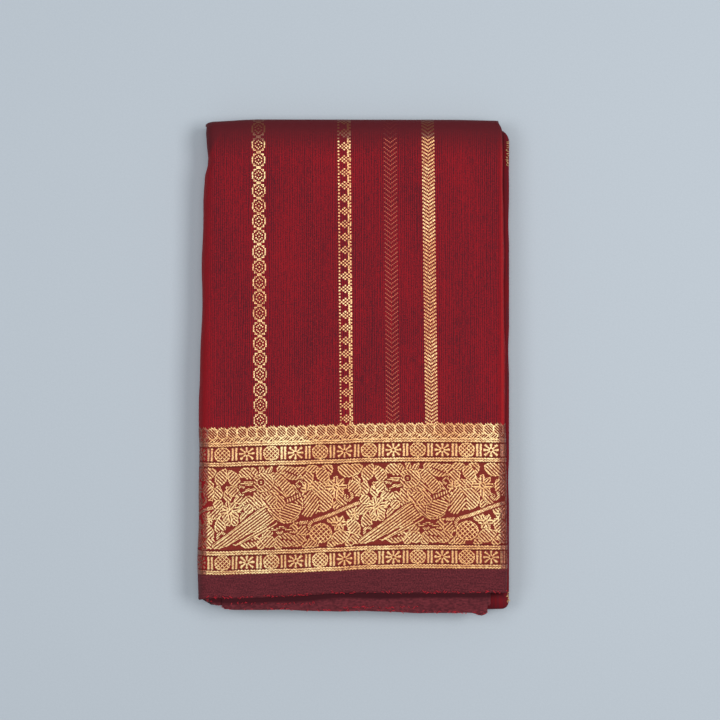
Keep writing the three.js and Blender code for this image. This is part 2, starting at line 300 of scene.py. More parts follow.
def settle_cover(grid, flat_place):
    """Adds the lie of the cloth to the top, fading round the folds, and seats the underside."""
    out = grid.copy()
    x, y, z = grid[..., 0], grid[..., 1], grid[..., 2]
    upper = np.clip((z - SPINE_MIDDLE) / (HEIGHT - SPINE_MIDDLE), 0, 1) ** 2
    v = flat_place[..., 1]
    edge = np.exp(-v / EDGE_REACH)
    droop = -EDGE_DROOP * edge + EDGE_WAVE * edge * np.sin(x / 13.0 + 0.7) * np.sin(x / 29.0)
    out[..., 2] += upper * (lie_of_cloth(x, y) + droop)
    side = (1 - np.abs(z - SPINE_MIDDLE) / SPINE_MIDDLE).clip(0, 1)
    at_left = (x < 0) * side
    out[..., 0] += at_left * (0.35 * np.sin(y / 17.0) + 0.25 * np.sin(y / 7.3 + z / 5.0))
    at_right = (x > 80) * np.clip((HEIGHT - z) / 4.0, 0, 1) * (z > 4)
    out[..., 0] += at_right * (0.22 * np.sin(y / 11.0 + 1.0) + 0.15 * np.sin(y / 4.7 + z))
    out[..., 2] = np.where(z < 0.01, FLOOR_GAP, out[..., 2]).clip(FLOOR_GAP, None)
    return out


grid = settle_cover(grid, flat_place)
print("the cover runs from", round(float(grid[..., 2].max()), 2), "mm down to", FLOOR_GAP)

# %% [markdown]
# ## A mesh from a grid
#
# One helper turns any grid of points into a mesh with a UV, and one more wraps it up for the frame:
# which body it rides on and which solids it stands for.

# %% Helpers that make meshes
def new_object(name, points, faces, material):
    mesh = bpy.data.meshes.new(name)
    mesh.from_pydata([tuple(p) for p in points], [], [tuple(f) for f in faces])
    mesh.validate()
    mesh.materials.append(material)
    mesh.shade_smooth()
    piece = bpy.data.objects.new(name, mesh)
    bpy.context.scene.collection.objects.link(piece)
    return piece


def grid_faces(rows, columns, closed=False, flip=False):
    """Quads between the points of a grid. A grid whose columns run right to left is flipped."""
    faces = []
    across = columns if closed else columns - 1
    for i in range(rows - 1):
        for j in range(across):
            k = (j + 1) % columns
            a, b = i * columns + j, i * columns + k
            quad = (a, b, b + columns, a + columns)
            faces.append(quad[::-1] if flip else quad)
    return faces


def set_uv(piece, places):
    """Writes the flat-cloth place of each vertex as a UV, in metres."""
    layer = piece.data.uv_layers.new(name="flat_cloth")
    corner = np.empty(len(piece.data.loops), int)
    piece.data.loops.foreach_get("vertex_index", corner)
    layer.uv.foreach_set("vector", (np.asarray(places)[corner] * MM).ravel())


def finish_piece(piece, slot, *nodes):
    """Says what the piece rides on and the solids that it stands for; slot is not used."""
    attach(piece, "root")
    if nodes:
        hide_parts(*nodes)
    triangles = sum(len(p.vertices) - 2 for p in piece.data.polygons)
    print(piece.name, "triangles before its shell:", triangles)


# %% [markdown]
# ## Node materials
#
# A small helper keeps the node code short: it adds a node, sets its values and joins its inputs. Every
# number that is the same all over a surface is set on the shader's own socket, and only what varies is
# joined to it.

# %% Material helpers
class Shader:
    """A material's nodes, made one line at a time."""

    def __init__(self, name):
        self.material = bpy.data.materials.new(name)
        self.material.use_nodes = True
        self.tree = self.material.node_tree
        self.surface = self.tree.nodes["Principled BSDF"]

    def node(self, kind, inputs=(), **settings):
        made = self.tree.nodes.new(kind)
        for key, value in settings.items():
            setattr(made, key, value)
        for key, value in dict(inputs).items():
            self.join(value, made.inputs[key])
        return made

    def join(self, value, socket):
        if isinstance(value, bpy.types.NodeSocket):
            self.tree.links.new(value, socket)
        else:
            socket.default_value = value

    def math(self, operation, *values, clamp=False):
        made = self.node("ShaderNodeMath", enumerate(values), operation=operation, use_clamp=clamp)
        return made.outputs[0]

    def blend(self, share, a, b):
        return self.node("ShaderNodeMix", {0: share, 6: a, 7: b}, data_type="RGBA").outputs[2]

    def ramp(self, value, low, high, start=0.0, end=1.0, **settings):
        """Runs from start to end while value runs from low to high."""
        ends = {0: value, 1: low, 2: high, 3: start, 4: end}
        return self.node("ShaderNodeMapRange", ends, **settings).outputs[0]

    def band(self, value, low, high, soft):
        """1 where value is between low and high, with soft edges."""
        rise = self.ramp(value, low - soft, low + soft)
        fall = self.ramp(value, high - soft, high + soft)
        return self.math("SUBTRACT", rise, fall, clamp=True)

    def place(self):
        """A point's own place on the piece, and its three parts."""
        place = self.node("ShaderNodeTexCoord").outputs["Object"]
        return place, *self.node("ShaderNodeSeparateXYZ", {0: place}).outputs

    def noise(self, place, scale, detail):
        """Noise of one scale, or of three where it is drawn out."""
        if isinstance(scale, tuple):
            place = self.node("ShaderNodeMapping", {0: place, 3: scale}).outputs[0]
            scale = 1.0
        return self.node("ShaderNodeTexNoise", {"Vector": place, "Scale": scale, "Detail": detail}).outputs[0]

    def bump(self, height, strength, depth):
        """Relief too fine for the mesh, which only the light sees."""
        made = self.node("ShaderNodeBump", {"Strength": strength, "Distance": depth, "Height": height})
        self.join(made.outputs[0], self.surface.inputs["Normal"])

    def finish(self, colour, **values):
        """Joins the colour and sets the values that are the same all over."""
        self.join(colour, self.surface.inputs["Base Color"])
        for key, value in values.items():
            self.surface.inputs[key.replace("_", " ")].default_value = value
        return self.material


def flat_cloth_uv(shader):
    """The piece's own UV in metres, and its two parts."""
    uv = shader.node("ShaderNodeUVMap", uv_map="flat_cloth").outputs[0]
    parts = shader.node("ShaderNodeSeparateXYZ", {0: uv})
    return uv, parts.outputs[0], parts.outputs[1]


def stretched_noise(shader, uv, across, along, detail=2.0, offset=0.0):
    """Noise whose cells are across wide and along long, in metres."""
    moved = shader.node("ShaderNodeMapping", {0: uv, 1: (offset, offset, offset),
                                              3: (1 / across, 1 / along, 1.0)})
    return shader.noise(moved.outputs[0], 1.0, detail)


# %% [markdown]
# ## The shot cloth
#
# The field is woven with bright red threads one way and maroon ones the other, so it looks streaked
# from close by and deep crimson from afar. An image could hold the streaks, but a formula stays sharp:
# a fine ripple across the cloth, which drifts and is broken up by noise drawn out along the threads,
# over broad soft patches. The same sheet carries the plain dark selvedge and the brick-red ground of
# the border, so the colour changes with v, the distance up from the free edge. Where the cloth bends
# over a side fold, the red threads turn outwards, and the purer, brighter red painted there is partly
# that and partly painted light. A painted highlight runs along the turn of the right fold, and past the
# far shoulder and on the dog-ear the maroon is partly the maroon threads and partly painted shade.

# %% Shot cloth of the cover
EDGE_BAND = 15.1
BORDER_TOP = 106.2
# low, height of each pair of ropes of the border, measured up from the free edge
ROPES = [(15.1, 2.7), (27.1, 2.8), (82.7, 2.75), (95.05, 2.8)]
BRIGHT_RED = (0.310, 0.0100, 0.0170, 1.0)
MAROON = (0.096, 0.0105, 0.0170, 1.0)
# painted light, partly weave: the purer, brighter red put round the side folds
LIT_FOLD_RED = (0.270, 0.0050, 0.0095, 1.0)
# painted highlight: the bright red line along the right fold's turn
NOSE_HIGHLIGHT_RED = (0.370, 0.0130, 0.0170, 1.0)
SELVEDGE = (0.175, 0.0280, 0.0360, 1.0)
SELVEDGE_DARK = (0.075, 0.0130, 0.0180, 1.0)
BRICK = (0.300, 0.040, 0.028, 1.0)
BRICK_DARK = (0.150, 0.016, 0.011, 1.0)
BESIDE_ROPE = (0.105, 0.0110, 0.0090, 1.0)
# painted shade, partly maroon weave: past the far shoulder and on the dog-ear
SHOULDER_SHADE = (0.105, 0.0110, 0.0160, 1.0)
SHEEN_RED = (1.0, 0.30, 0.28, 1.0)
SHOULDER_V = (FAR_FLAT - NEAR_Y - 1.5) * MM
THREAD_PITCH = 0.36 * MM
STREAK_PITCH = 1.28 * MM
# Stretches of u: round the left fold, round the right fold, and the painted highlight along its turn
LEFT_BEND = (-112.0 * MM, -90.5 * MM)
RIGHT_BEND = (91.5 * MM, 120.0 * MM)
NOSE_HIGHLIGHT_SPAN = (92.5 * MM, 95.0 * MM)
# A dark line stands beside each rope: how far off, half its width, and how soft its edges are
LINE_OFF = 0.45
LINE_HALF = 0.28
LINE_SOFT = 0.12 * MM
# The dog-ear at the far left corner lies beyond a line y = slope x + level
CORNER_SLOPE = 2.0
CORNER_LEVEL = (132.8 + SHIFT_Y - CORNER_SLOPE * (-91.0 + SHIFT_X)) * MM


def weave_bump(shader, uv, u, v):
    """A fine plain weave: two crossed rows of threads, slightly uneven."""
    uneven = shader.math("MULTIPLY", stretched_noise(shader, uv, 4 * MM, 4 * MM), 6.0)
    turn = 2 * math.pi / THREAD_PITCH
    warp = shader.math("SINE", shader.math("MULTIPLY_ADD", u, turn, uneven))
    weft = shader.math("SINE", shader.math("MULTIPLY_ADD", v, turn, uneven))
    slub = stretched_noise(shader, uv, 0.7 * MM, 9 * MM, offset=3.0)
    height = shader.math("MULTIPLY_ADD", slub, 2.4, shader.math("ADD", warp, weft))
    shader.bump(height, strength=0.55, depth=0.06 * MM)


def shot_red(shader, uv, u):
    """The streaked red and maroon of the field."""
    drift = stretched_noise(shader, uv, 3.2 * MM, 70 * MM, detail=1.0)
    broken = stretched_noise(shader, uv, 0.75 * MM, 6 * MM, detail=2.0, offset=2.0)
    grain = stretched_noise(shader, uv, 0.55 * MM, 0.9 * MM, detail=0.0, offset=8.0)
    broad = stretched_noise(shader, uv, 16 * MM, 60 * MM, offset=5.0)
    ripple = shader.math("MULTIPLY_ADD", u, 2 * math.pi / STREAK_PITCH, shader.math("MULTIPLY", drift, 9.0))
    tint = shader.math("MULTIPLY_ADD", shader.math("SINE", ripple), 0.46, -1.75)
    tint = shader.math("MULTIPLY_ADD", broken, 1.70, tint)
    tint = shader.math("MULTIPLY_ADD", grain, 1.80, tint)
    tint = shader.math("MULTIPLY_ADD", broad, 1.00, tint, clamp=True)
    return shader.blend(tint, MAROON, BRIGHT_RED)


def field_colour(shader, uv, u, v, at_left):
    """The field: a purer red round the folds, partly weave and partly painted light, and maroon past the
    shoulder and on the dog-ear, partly weave and partly painted shade.
    """
    at_right = shader.band(u, *RIGHT_BEND, 0.002)
    # painted light: both side folds turn a purer, brighter red, partly the red threads turned outwards
    at_bend = shader.math("MULTIPLY", shader.math("ADD", at_left, at_right, clamp=True), 0.75)
    field = shader.blend(at_bend, shot_red(shader, uv, u), LIT_FOLD_RED)
    # painted highlight along the turn of the right fold
    field = shader.blend(shader.band(u, *NOSE_HIGHLIGHT_SPAN, 0.0004), field, NOSE_HIGHLIGHT_RED)
    # painted shade: maroon past the far shoulder, partly the maroon threads showing
    field = shader.blend(shader.ramp(v, SHOULDER_V - 0.011, SHOULDER_V + 0.006), field, SHOULDER_SHADE)
    # painted shade: the dog-ear corner on top turns the same maroon
    _, x, y, z = shader.place()
    off_corner = shader.math("MULTIPLY_ADD", x, -CORNER_SLOPE, y)
    off_corner = shader.ramp(off_corner, CORNER_LEVEL - 0.003, CORNER_LEVEL + 0.002)
    on_top = shader.ramp(z, 0.012, 0.020)
    return shader.blend(shader.math("MULTIPLY", off_corner, on_top), field, SHOULDER_SHADE)


def selvedge_colour(shader, uv):
    """The plain dark edge, with rows of weft and small knots in it."""
    rows_of_weft = stretched_noise(shader, uv, 9 * MM, 0.9 * MM, detail=2.0)
    knots = stretched_noise(shader, uv, 0.9 * MM, 0.9 * MM, detail=1.0, offset=4.0)
    grain = shader.math("MULTIPLY_ADD", rows_of_weft, 1.3, -1.45)
    grain = shader.math("MULTIPLY_ADD", knots, 2.5, grain, clamp=True)
    return shader.blend(grain, SELVEDGE_DARK, SELVEDGE)


def ground_colour(shader, uv, u, v, at_left):
    """The brick-red ground between the gold figures, with a dark line beside each rope, painted light
    round the left fold and painted shade round the right fold.
    """
    speck = stretched_noise(shader, uv, 1.1 * MM, 1.1 * MM, detail=2.0, offset=2.0)
    ground = shader.blend(speck, BRICK_DARK, BRICK)
    # painted shade: the ground turns dark brick round the right fold
    ground = shader.blend(shader.band(u, *RIGHT_BEND, 0.001), ground, BRICK_DARK)
    # painted light: the ground round the left fold takes the same brighter red
    ground = shader.blend(at_left, ground, LIT_FOLD_RED)
    for low, height in ROPES:
        for line in (low - LINE_OFF, low + height + LINE_OFF):
            beside = shader.band(v, (line - LINE_HALF) * MM, (line + LINE_HALF) * MM, LINE_SOFT)
            ground = shader.blend(beside, ground, BESIDE_ROPE)
    return ground


def cover_cloth():
    shader = Shader("shot_cloth_cover")
    uv, u, v = flat_cloth_uv(shader)
    at_left = shader.band(u, *LEFT_BEND, 0.004)
    in_border = shader.band(v, EDGE_BAND * MM, BORDER_TOP * MM, 0.0003)
    in_selvedge = shader.band(v, -0.01, EDGE_BAND * MM, 0.0003)
    colour = shader.blend(in_border, field_colour(shader, uv, u, v, at_left),
                          ground_colour(shader, uv, u, v, at_left))
    colour = shader.blend(in_selvedge, colour, selvedge_colour(shader, uv))
    weave_bump(shader, uv, u, v)
    return shader.finish(colour, Roughness=0.62, Specular_IOR_Level=0.08, Sheen_Weight=0.04,
                         Sheen_Roughness=0.45, Sheen_Tint=SHEEN_RED)


COVER_CLOTH = cover_cloth()
print("cover cloth has", len(COVER_CLOTH.node_tree.nodes), "nodes")

# %% The cover sheet
rows, columns = grid.shape[:2]
cover = new_object("cover_sheet", placed(grid.reshape(-1, 3)),
                   grid_faces(rows, columns, flip=True), COVER_CLOTH)
set_uv(cover, flat_place.reshape(-1, 2))
finish_piece(cover, "body_cloth", "front_selvedge", "front_zari_border", "front_body",
             "back_selvedge", "back_zari_border", "back_body")

# %% [markdown]
# ## Leaves below the cover
#
# Every leaf is a folded thickness of cloth with a soft round edge. An outline is walked once round the
# leaf, with a small uneven wave, and rings of that outline are stacked from the leaf's underside to its
# top, drawn in where the edge rounds over. The same walk makes the two dark leaves that peek out below
# the cover and each of the many leaves that nothing shows but their edges.

# %% Outlines and rings of leaves
def outline(left, right, near, far, near_corner, far_corner, step=3.0):
    """Points round a leaf, anticlockwise, starting at its near left corner."""
    points = []
    for x in np.linspace(left, right - near_corner, int((right - left) / step))[:-1]:
        points.append((x, near))
    for turn in np.linspace(-90, 0, 7):
        a = math.radians(turn)
        points.append((right - near_corner + near_corner * math.cos(a),
                       near + near_corner + near_corner * math.sin(a)))
    for y in np.linspace(near + near_corner, far - far_corner, int((far - near) / step))[1:-1]:
        points.append((right, y))
    for turn in np.linspace(0, 90, 9):
        a = math.radians(turn)
        points.append((right - far_corner + far_corner * math.cos(a),
                       far - far_corner + far_corner * math.sin(a)))
    for x in np.linspace(right - far_corner, left, int((right - left) / step))[1:]:
        points.append((x, far))
    for y in np.linspace(far, near, int((far - near) / step))[1:-1]:
        points.append((left, y))
    return np.array(points)


def drawn_in(points, inset):
    """The outline moved in by inset, along its own normals."""
    ahead = np.roll(points, -1, 0) - np.roll(points, 1, 0)
    ahead /= np.linalg.norm(ahead, axis=1)[:, None]
    return points + inset * np.stack([-ahead[:, 1], ahead[:, 0]], -1)


def capped(rings):
    """Vertices and faces of a closed solid through rings of the same length."""
    count = len(rings[0])
    points = np.concatenate(rings)
    faces = grid_faces(len(rings), count, closed=True)
    faces.append(tuple(range(count - 1, -1, -1)))
    faces.append(tuple(range(len(points) - count, len(points))))
    return points, faces


# %% The many hidden leaves
LEAF_LOW = 1.0
LEAF_HIGH = 20.0
HIDDEN_COUNT = 30
NEAR_LEFT_ROUND = 6.0
HIDDEN_NEAR_CORNER = 3.0
HIDDEN_FAR_CORNER = 9.0
RIDGE_DEPTH = 0.8
# Room between the cover's shell and the leaves inside the left fold
SPINE_GAP = 0.5
SPINE_CLEARANCE = 0.7
STACK_GOLD = (0.42, 0.17, 0.065, 1.0)
STACK_GOLD_DARK = (0.20, 0.045, 0.022, 1.0)
RIDGE_LEVELS = [(0.0, 0.9), (0.14, 0.42), (0.32, 0.12), (0.5, 0.0), (0.68, 0.12), (0.86, 0.42)]
# z, right, near, far: how far out the hidden leaves reach, from the floor up
REACH = np.array([
    (0.0, 94.4, -147.6, 148.4),
    (3.0, 95.4, -149.6, 149.8),
    (5.6, 96.6, -150.6, 150.4),
    (7.4, 95.8, -149.4, 149.4),
    (9.6, 97.0, -151.0, 151.0),
    (10.4, 90.5, -143.0, 151.4),
    (12.8, 90.0, -141.5, 151.6),
    (15.0, 89.4, -140.4, 151.4),
    (17.5, 88.0, -141.0, 149.6),
    (20.0, 87.0, -142.0, 147.0),
])


def inside_spine(z):
    """How far in from the left fold's outside its inside stands, at height z."""
    room = SPINE_MIDDLE - SHELL - SPINE_GAP
    depth = SPINE_DEPTH - SHELL - SPINE_GAP
    rise = min(1.0, abs(z - SPINE_MIDDLE) / room)
    return SPINE_DEPTH - depth * math.sqrt(1 - rise * rise)


def hidden_rings():
    """Rings of all the hidden leaves, each with its own reach and slow waves."""
    rng = np.random.default_rng(11)
    rings = []
    thick = (LEAF_HIGH - LEAF_LOW) / HIDDEN_COUNT
    for n in range(HIDDEN_COUNT):
        low = LEAF_LOW + n * thick
        middle = low + thick / 2
        right, near, far = (float(eased(REACH, middle, c)) for c in (1, 2, 3))
        right += rng.uniform(-0.9, 0.4)
        near += rng.uniform(-0.5, 1.3)
        far += rng.uniform(-1.1, 0.4)
        phase = rng.uniform(0, 2 * math.pi, 4)
        base = outline(0.0, right, near, far, HIDDEN_NEAR_CORNER, HIDDEN_FAR_CORNER)
        x, y = base[:, 0].copy(), base[:, 1].copy()
        on_left = x < 0.001
        share = np.clip((right - x) / right, 0, 1)
        left = eased(SIDES, y, 1) + inside_spine(middle) + SPINE_CLEARANCE
        below = np.clip((near + NEAR_LEFT_ROUND - y) / NEAR_LEFT_ROUND, 0, 1)
        left = left + NEAR_LEFT_ROUND * (1 - np.sqrt(1 - below**2))
        base[:, 0] = np.where(on_left, left, left + (right - left) * (1 - share))
        wave = 0.28 * np.sin(y / 23 + phase[0]) + 0.16 * np.sin(y / 9.5 + phase[1])
        base[:, 0] += np.where(base[:, 0] > right - 10, wave, 0)
        wave = 0.30 * np.sin(base[:, 0] / 19 + phase[2]) + 0.16 * np.sin(base[:, 0] / 8 + phase[3])
        base[:, 1] += np.where((y < near + 4) | (y > far - 4), wave, 0)
        sag = 0.10 * np.sin(base[:, 0] / 27 + phase[1]) + 0.10 * np.sin(base[:, 1] / 31 + phase[2])
        for level, inset in RIDGE_LEVELS:
            ring = drawn_in(base, inset * RIDGE_DEPTH)
            z = low + level * thick + sag * (0 < n < HIDDEN_COUNT - 1)
            rings.append(np.column_stack([ring, np.broadcast_to(z, len(ring))]))
    return rings


# %% [markdown]
# The edges of the hidden leaves show what the cloth is there: the red field on most, and gold-brown
# where the border is folded into the stack near the free edge. One material serves them all. It reads
# the piece's own place: each leaf is a step of height, and the border's stretch is a span along Y.

# %% Cloth of the hidden leaves
def stack_cloth():
    shader = Shader("stacked_cloth")
    place, _, y, z = shader.place()
    thick = (LEAF_HIGH - LEAF_LOW) / HIDDEN_COUNT * MM
    leaf = shader.math("FLOOR", shader.math("DIVIDE", shader.math("SUBTRACT", z, LEAF_LOW * MM), thick))
    own = shader.node("ShaderNodeTexWhiteNoise", {"W": leaf}, noise_dimensions="1D").outputs[0]
    fine = shader.noise(place, (900.0, 900.0, 2500.0), 3.0)
    tint = shader.math("MULTIPLY_ADD", own, 0.55, shader.math("MULTIPLY", fine, 0.6), clamp=True)
    colour = shader.blend(tint, MAROON, BRIGHT_RED)
    near = (NEAR_Y + SHIFT_Y) * MM
    gold_span = shader.band(y, near + EDGE_BAND * MM, near + BORDER_TOP * MM, 0.0012)
    has_border = shader.math("GREATER_THAN", own, 0.52)
    gold = shader.blend(fine, STACK_GOLD_DARK, STACK_GOLD)
    colour = shader.blend(shader.math("MULTIPLY", gold_span, has_border), colour, gold)
    dark_span = shader.band(y, -1.0, near + 0.6 * EDGE_BAND * MM, 0.0012)
    tint = shader.math("MULTIPLY_ADD", own, 0.9, shader.math("MULTIPLY", fine, 0.4), clamp=True)
    dark = shader.blend(tint, SELVEDGE_DARK, SELVEDGE)
    colour = shader.blend(shader.math("MULTIPLY", dark_span, 0.9), colour, dark)
    shader.bump(fine, strength=0.4, depth=0.1 * MM)
    return shader.finish(colour, Roughness=0.68, Specular_IOR_Level=0.14, Sheen_Weight=0.06,
                         Sheen_Roughness=0.5)


STACK_CLOTH = stack_cloth()
points, faces = capped(hidden_rings())
hidden = new_object("stacked_leaves", placed(points), faces, STACK_CLOTH)
finish_piece(hidden, "body_cloth", "hidden_leaves")

# %% [markdown]
# ## The two dark leaves and the lower leaf
#
# Below the cover's free edge two more selvedges peek out, one short of the other at the left, so that
# their corners make small steps. The lower leaf is red and folded over at the right, where it stands
# out past the cover all the way up and shows its rounded corner below it.

# %% Dark leaves below the free edge
# Where the painted shadow under the cover's free edge begins on the leaves below, at the left and at
# the right, and between which places along X that line shifts
EDGE_SHADOW_LEFT = (NEAR_Y - 3.6 + SHIFT_Y) * MM
EDGE_SHADOW_RIGHT = (NEAR_Y - 0.5 + SHIFT_Y) * MM
EDGE_SHADOW_SPAN = (-50.0 * MM, -6.0 * MM)
EDGE_SHADOW_COLOUR = (0.046, 0.0060, 0.0095, 1.0)


def selvedge_cloth():
    shader = Shader("selvedge_cloth")
    place, x, y, _ = shader.place()
    grain = shader.noise(place, (520.0, 1000.0, 1000.0), 2.0)
    share = shader.math("MULTIPLY_ADD", grain, 2.6, -0.85, clamp=True)
    colour = shader.blend(share, SELVEDGE_DARK, SELVEDGE)
    # painted shadow: the leaves are darker just below the cover's free edge
    shadow_line = shader.ramp(x, *EDGE_SHADOW_SPAN, EDGE_SHADOW_LEFT, EDGE_SHADOW_RIGHT, interpolation_type="SMOOTHSTEP")
    waver = shader.math("SUBTRACT", shader.noise(place, 28.0, 1.0), 0.5)
    above = shader.math("MULTIPLY_ADD", waver, 0.004, shader.math("SUBTRACT", y, shadow_line))
    colour = shader.blend(shader.ramp(above, -0.0012, 0.0006), colour, EDGE_SHADOW_COLOUR)
    shader.bump(grain, strength=0.5, depth=0.08 * MM)
    return shader.finish(colour, Roughness=0.66, Specular_IOR_Level=0.08, Sheen_Weight=0.04,
                         Sheen_Roughness=0.5)


CORNER_CUT = 1.5
SELVEDGE_CLOTH = selvedge_cloth()
PLATE_LEVELS = [(0.0, 0.35), (0.12, 0.12), (0.35, 0.0), (0.65, 0.0), (0.88, 0.12), (1.0, 0.35)]
PLATE_NEAR_CORNER = 1.5
PLATE_FAR_CORNER = 6.0
SECOND_FREE = -153.6
# How far the second leaf's free edge stands in or out: x, in
SECOND_NEAR = np.array([
    (-82.0, 1.6), (-60.0, 1.2), (0.0, 0.4), (60.0, -0.8), (74.0, -0.9), (80.0, -2.4), (84.0, -1.0),
])


def plate(name, node, low, high, left, right, near, far, near_table, phase):
    """A thin leaf with a wavy free edge."""
    base = outline(left, right, near, far, PLATE_NEAR_CORNER, PLATE_FAR_CORNER, step=2.0)
    x = base[:, 0]
    at_near = np.clip(1 - (base[:, 1] - near) / 20, 0, 1)
    if near_table is not None:
        base[:, 1] += at_near * eased(near_table, x)
    base[:, 1] += at_near * (0.22 * np.sin(x / 9 + phase) + 0.10 * np.sin(x / 3.7 + phase))
    base[:, 1] += at_near * CORNER_CUT * np.exp(-(x - left) / 2.6) * (1 + 0.5 * np.sin(x / 0.9))
    lift = at_near * (0.16 * np.sin(x / 15 + phase) + 0.08 * np.sin(x / 6.1))
    rings = []
    for level, inset in PLATE_LEVELS:
        ring = drawn_in(base, inset)
        rings.append(np.column_stack([ring, low + level * (high - low) + lift]))
    points, faces = capped(rings)
    piece = new_object(name, placed(points), faces, SELVEDGE_CLOTH)
    finish_piece(piece, "edge_cloth", node)
    return piece


second = plate("second_selvedge", "second_leaf_selvedge", 19.7, 20.55, -82.4, 84.0, SECOND_FREE, 144.0,
               SECOND_NEAR, 0.4)
third = plate("third_selvedge", "third_leaf_selvedge", 18.3, 19.3, -90.2, 86.0, -149.6, 146.5, None, 2.0)


# %% The red lower leaf
LEAF_RED = (0.185, 0.0045, 0.0090, 1.0)
LEAF_SHADE = (0.060, 0.0040, 0.0075, 1.0)


# Where the lower leaf comes out from under the cover's right fold and from under its free edge
UNDER_NOSE = (94.6 + SHIFT_X) * MM
UNDER_EDGE = (NEAR_Y + SHIFT_Y) * MM


def leaf_cloth():
    shader = Shader("shot_cloth_leaf")
    place, x, y, _ = shader.place()
    fine = shader.noise(place, (1500.0, 60.0, 900.0), 3.0)
    colour = shader.blend(shader.ramp(fine, 0.35, 0.65), MAROON, LEAF_RED)
    # painted shade: the lower leaf is darker under the cover's right fold and under its free edge
    at_right = shader.ramp(x, UNDER_NOSE - 0.0010, UNDER_NOSE + 0.0014)
    at_corner = shader.ramp(y, UNDER_EDGE + 0.0010, UNDER_EDGE - 0.0025)
    colour = shader.blend(shader.math("MAXIMUM", at_right, at_corner), LEAF_SHADE, colour)
    # painted shade: the leaf's corner darkens towards the bottom
    low = shader.ramp(y, UNDER_EDGE - 0.0040, UNDER_EDGE - 0.0090, end=0.6)
    colour = shader.blend(low, colour, LEAF_SHADE)
    shader.bump(fine, strength=0.4, depth=0.08 * MM)
    return shader.finish(colour, Roughness=0.62, Specular_IOR_Level=0.06, Sheen_Weight=0.03,
                         Sheen_Roughness=0.45)


LEAF_CLOTH = leaf_cloth()
LOWER_NEAR = -153.5
LOWER_FAR = 150.0
LOWER_DEPTH_RIGHT = 6.5
LOWER_DEPTH_NEAR = 12.5
LOWER_MIDDLE = 11.4
LOWER_HALF = 1.3
# Left of TURN_FROM the near edge turns in under the stack, by TURN_IN once it has gone TURN_REACH
TURN_FROM = -38.0
TURN_REACH = 22.0
TURN_IN = 3.0


def lower_leaf_grid():
    """Sections of the lower leaf's fold, walked along its near edge and up its right edge."""
    path = outline(-60.0, LOWER_RIGHT + 0.7, LOWER_NEAR, LOWER_FAR, 5.0, 8.0, step=2.0)
    path[:, 1] += TURN_IN * np.clip((TURN_FROM - path[:, 0]) / TURN_REACH, 0, 1) ** 2
    last = int(np.argmax(path[:, 1] >= LOWER_FAR - 0.01)) + 1
    path = path[:last]
    ahead = np.gradient(path, axis=0)
    ahead /= np.linalg.norm(ahead, axis=1)[:, None]
    inward = np.stack([-ahead[:, 1], ahead[:, 0]], -1)
    inside_right = LOWER_RIGHT - LOWER_DEPTH_RIGHT
    inside_near, inside_far = LOWER_NEAR + LOWER_DEPTH_NEAR, LOWER_FAR - LOWER_DEPTH_RIGHT
    rows = []
    for (x, y), (nx, ny) in zip(path, inward):
        wave = 0.25 * math.sin((x + y) / 14) + 0.2 * math.sin((x - y) / 6.3)
        row = []
        for turn in np.linspace(-90, 90, 9):
            a = math.radians(turn)
            depth = LOWER_HALF * (1 - math.cos(a)) + max(0.0, wave)
            row.append((x + nx * depth, y + ny * depth, LOWER_MIDDLE + LOWER_HALF * math.sin(a)))
        edge = np.array(row[-1][:2])
        inner = np.array([min(x, inside_right), np.clip(y, inside_near, inside_far)])
        for share, z in ((0.94, 12.7), (1.0, 12.3), (1.0, 10.1)):
            row.append((*(edge + share * (inner - edge)), z))
        rows.append(row)
    return np.array(rows)


lower = lower_leaf_grid()
sections, count = lower.shape[:2]
faces = grid_faces(sections, count, closed=True, flip=True)
faces.append(tuple(range(count)))
faces.append(tuple(range(sections * count - 1, (sections - 1) * count - 1, -1)))
lower_piece = new_object("lower_leaf_fold", placed(lower.reshape(-1, 3)), faces, LEAF_CLOTH)
finish_piece(lower_piece, "body_cloth", "lower_leaf")

# %% [markdown]
# ## Drawing for the loom
#
# Gold thread, zari, is laid into the cloth as an extra weft and tied down in slanted lines. So every
# figure of the border is really a bundle of short slanted threads cut off by the figure's outline, and
# a thin line of ground parts it from its neighbours. The drawing below works the same way. A figure is
# an outline with a direction for its threads. Each thread line is cut where it leaves the figure, and
# again where a figure that lies over it begins, a little early, which leaves the thin gap.

# %% Threads and strokes, drawn flat in millimetres
THREAD_PITCH_MM = 1.65
THREAD_WIDTH = 1.08
THREAD_HEIGHT = 0.18
FINE_PITCH = 0.95
LEAF_RIM = 0.55
THREAD_SIDE = 0.22
FIGURE_GAP = 0.70
LONGEST_STEP = 3.0
SHORTEST_THREAD = 0.6
FINE_WIDTH = 0.9 * FINE_PITCH
# Crossed threads lie wider apart and are thinner than others, by these shares
CROSSED_PITCH = 1.3
CROSSED_WIDTH = 0.8


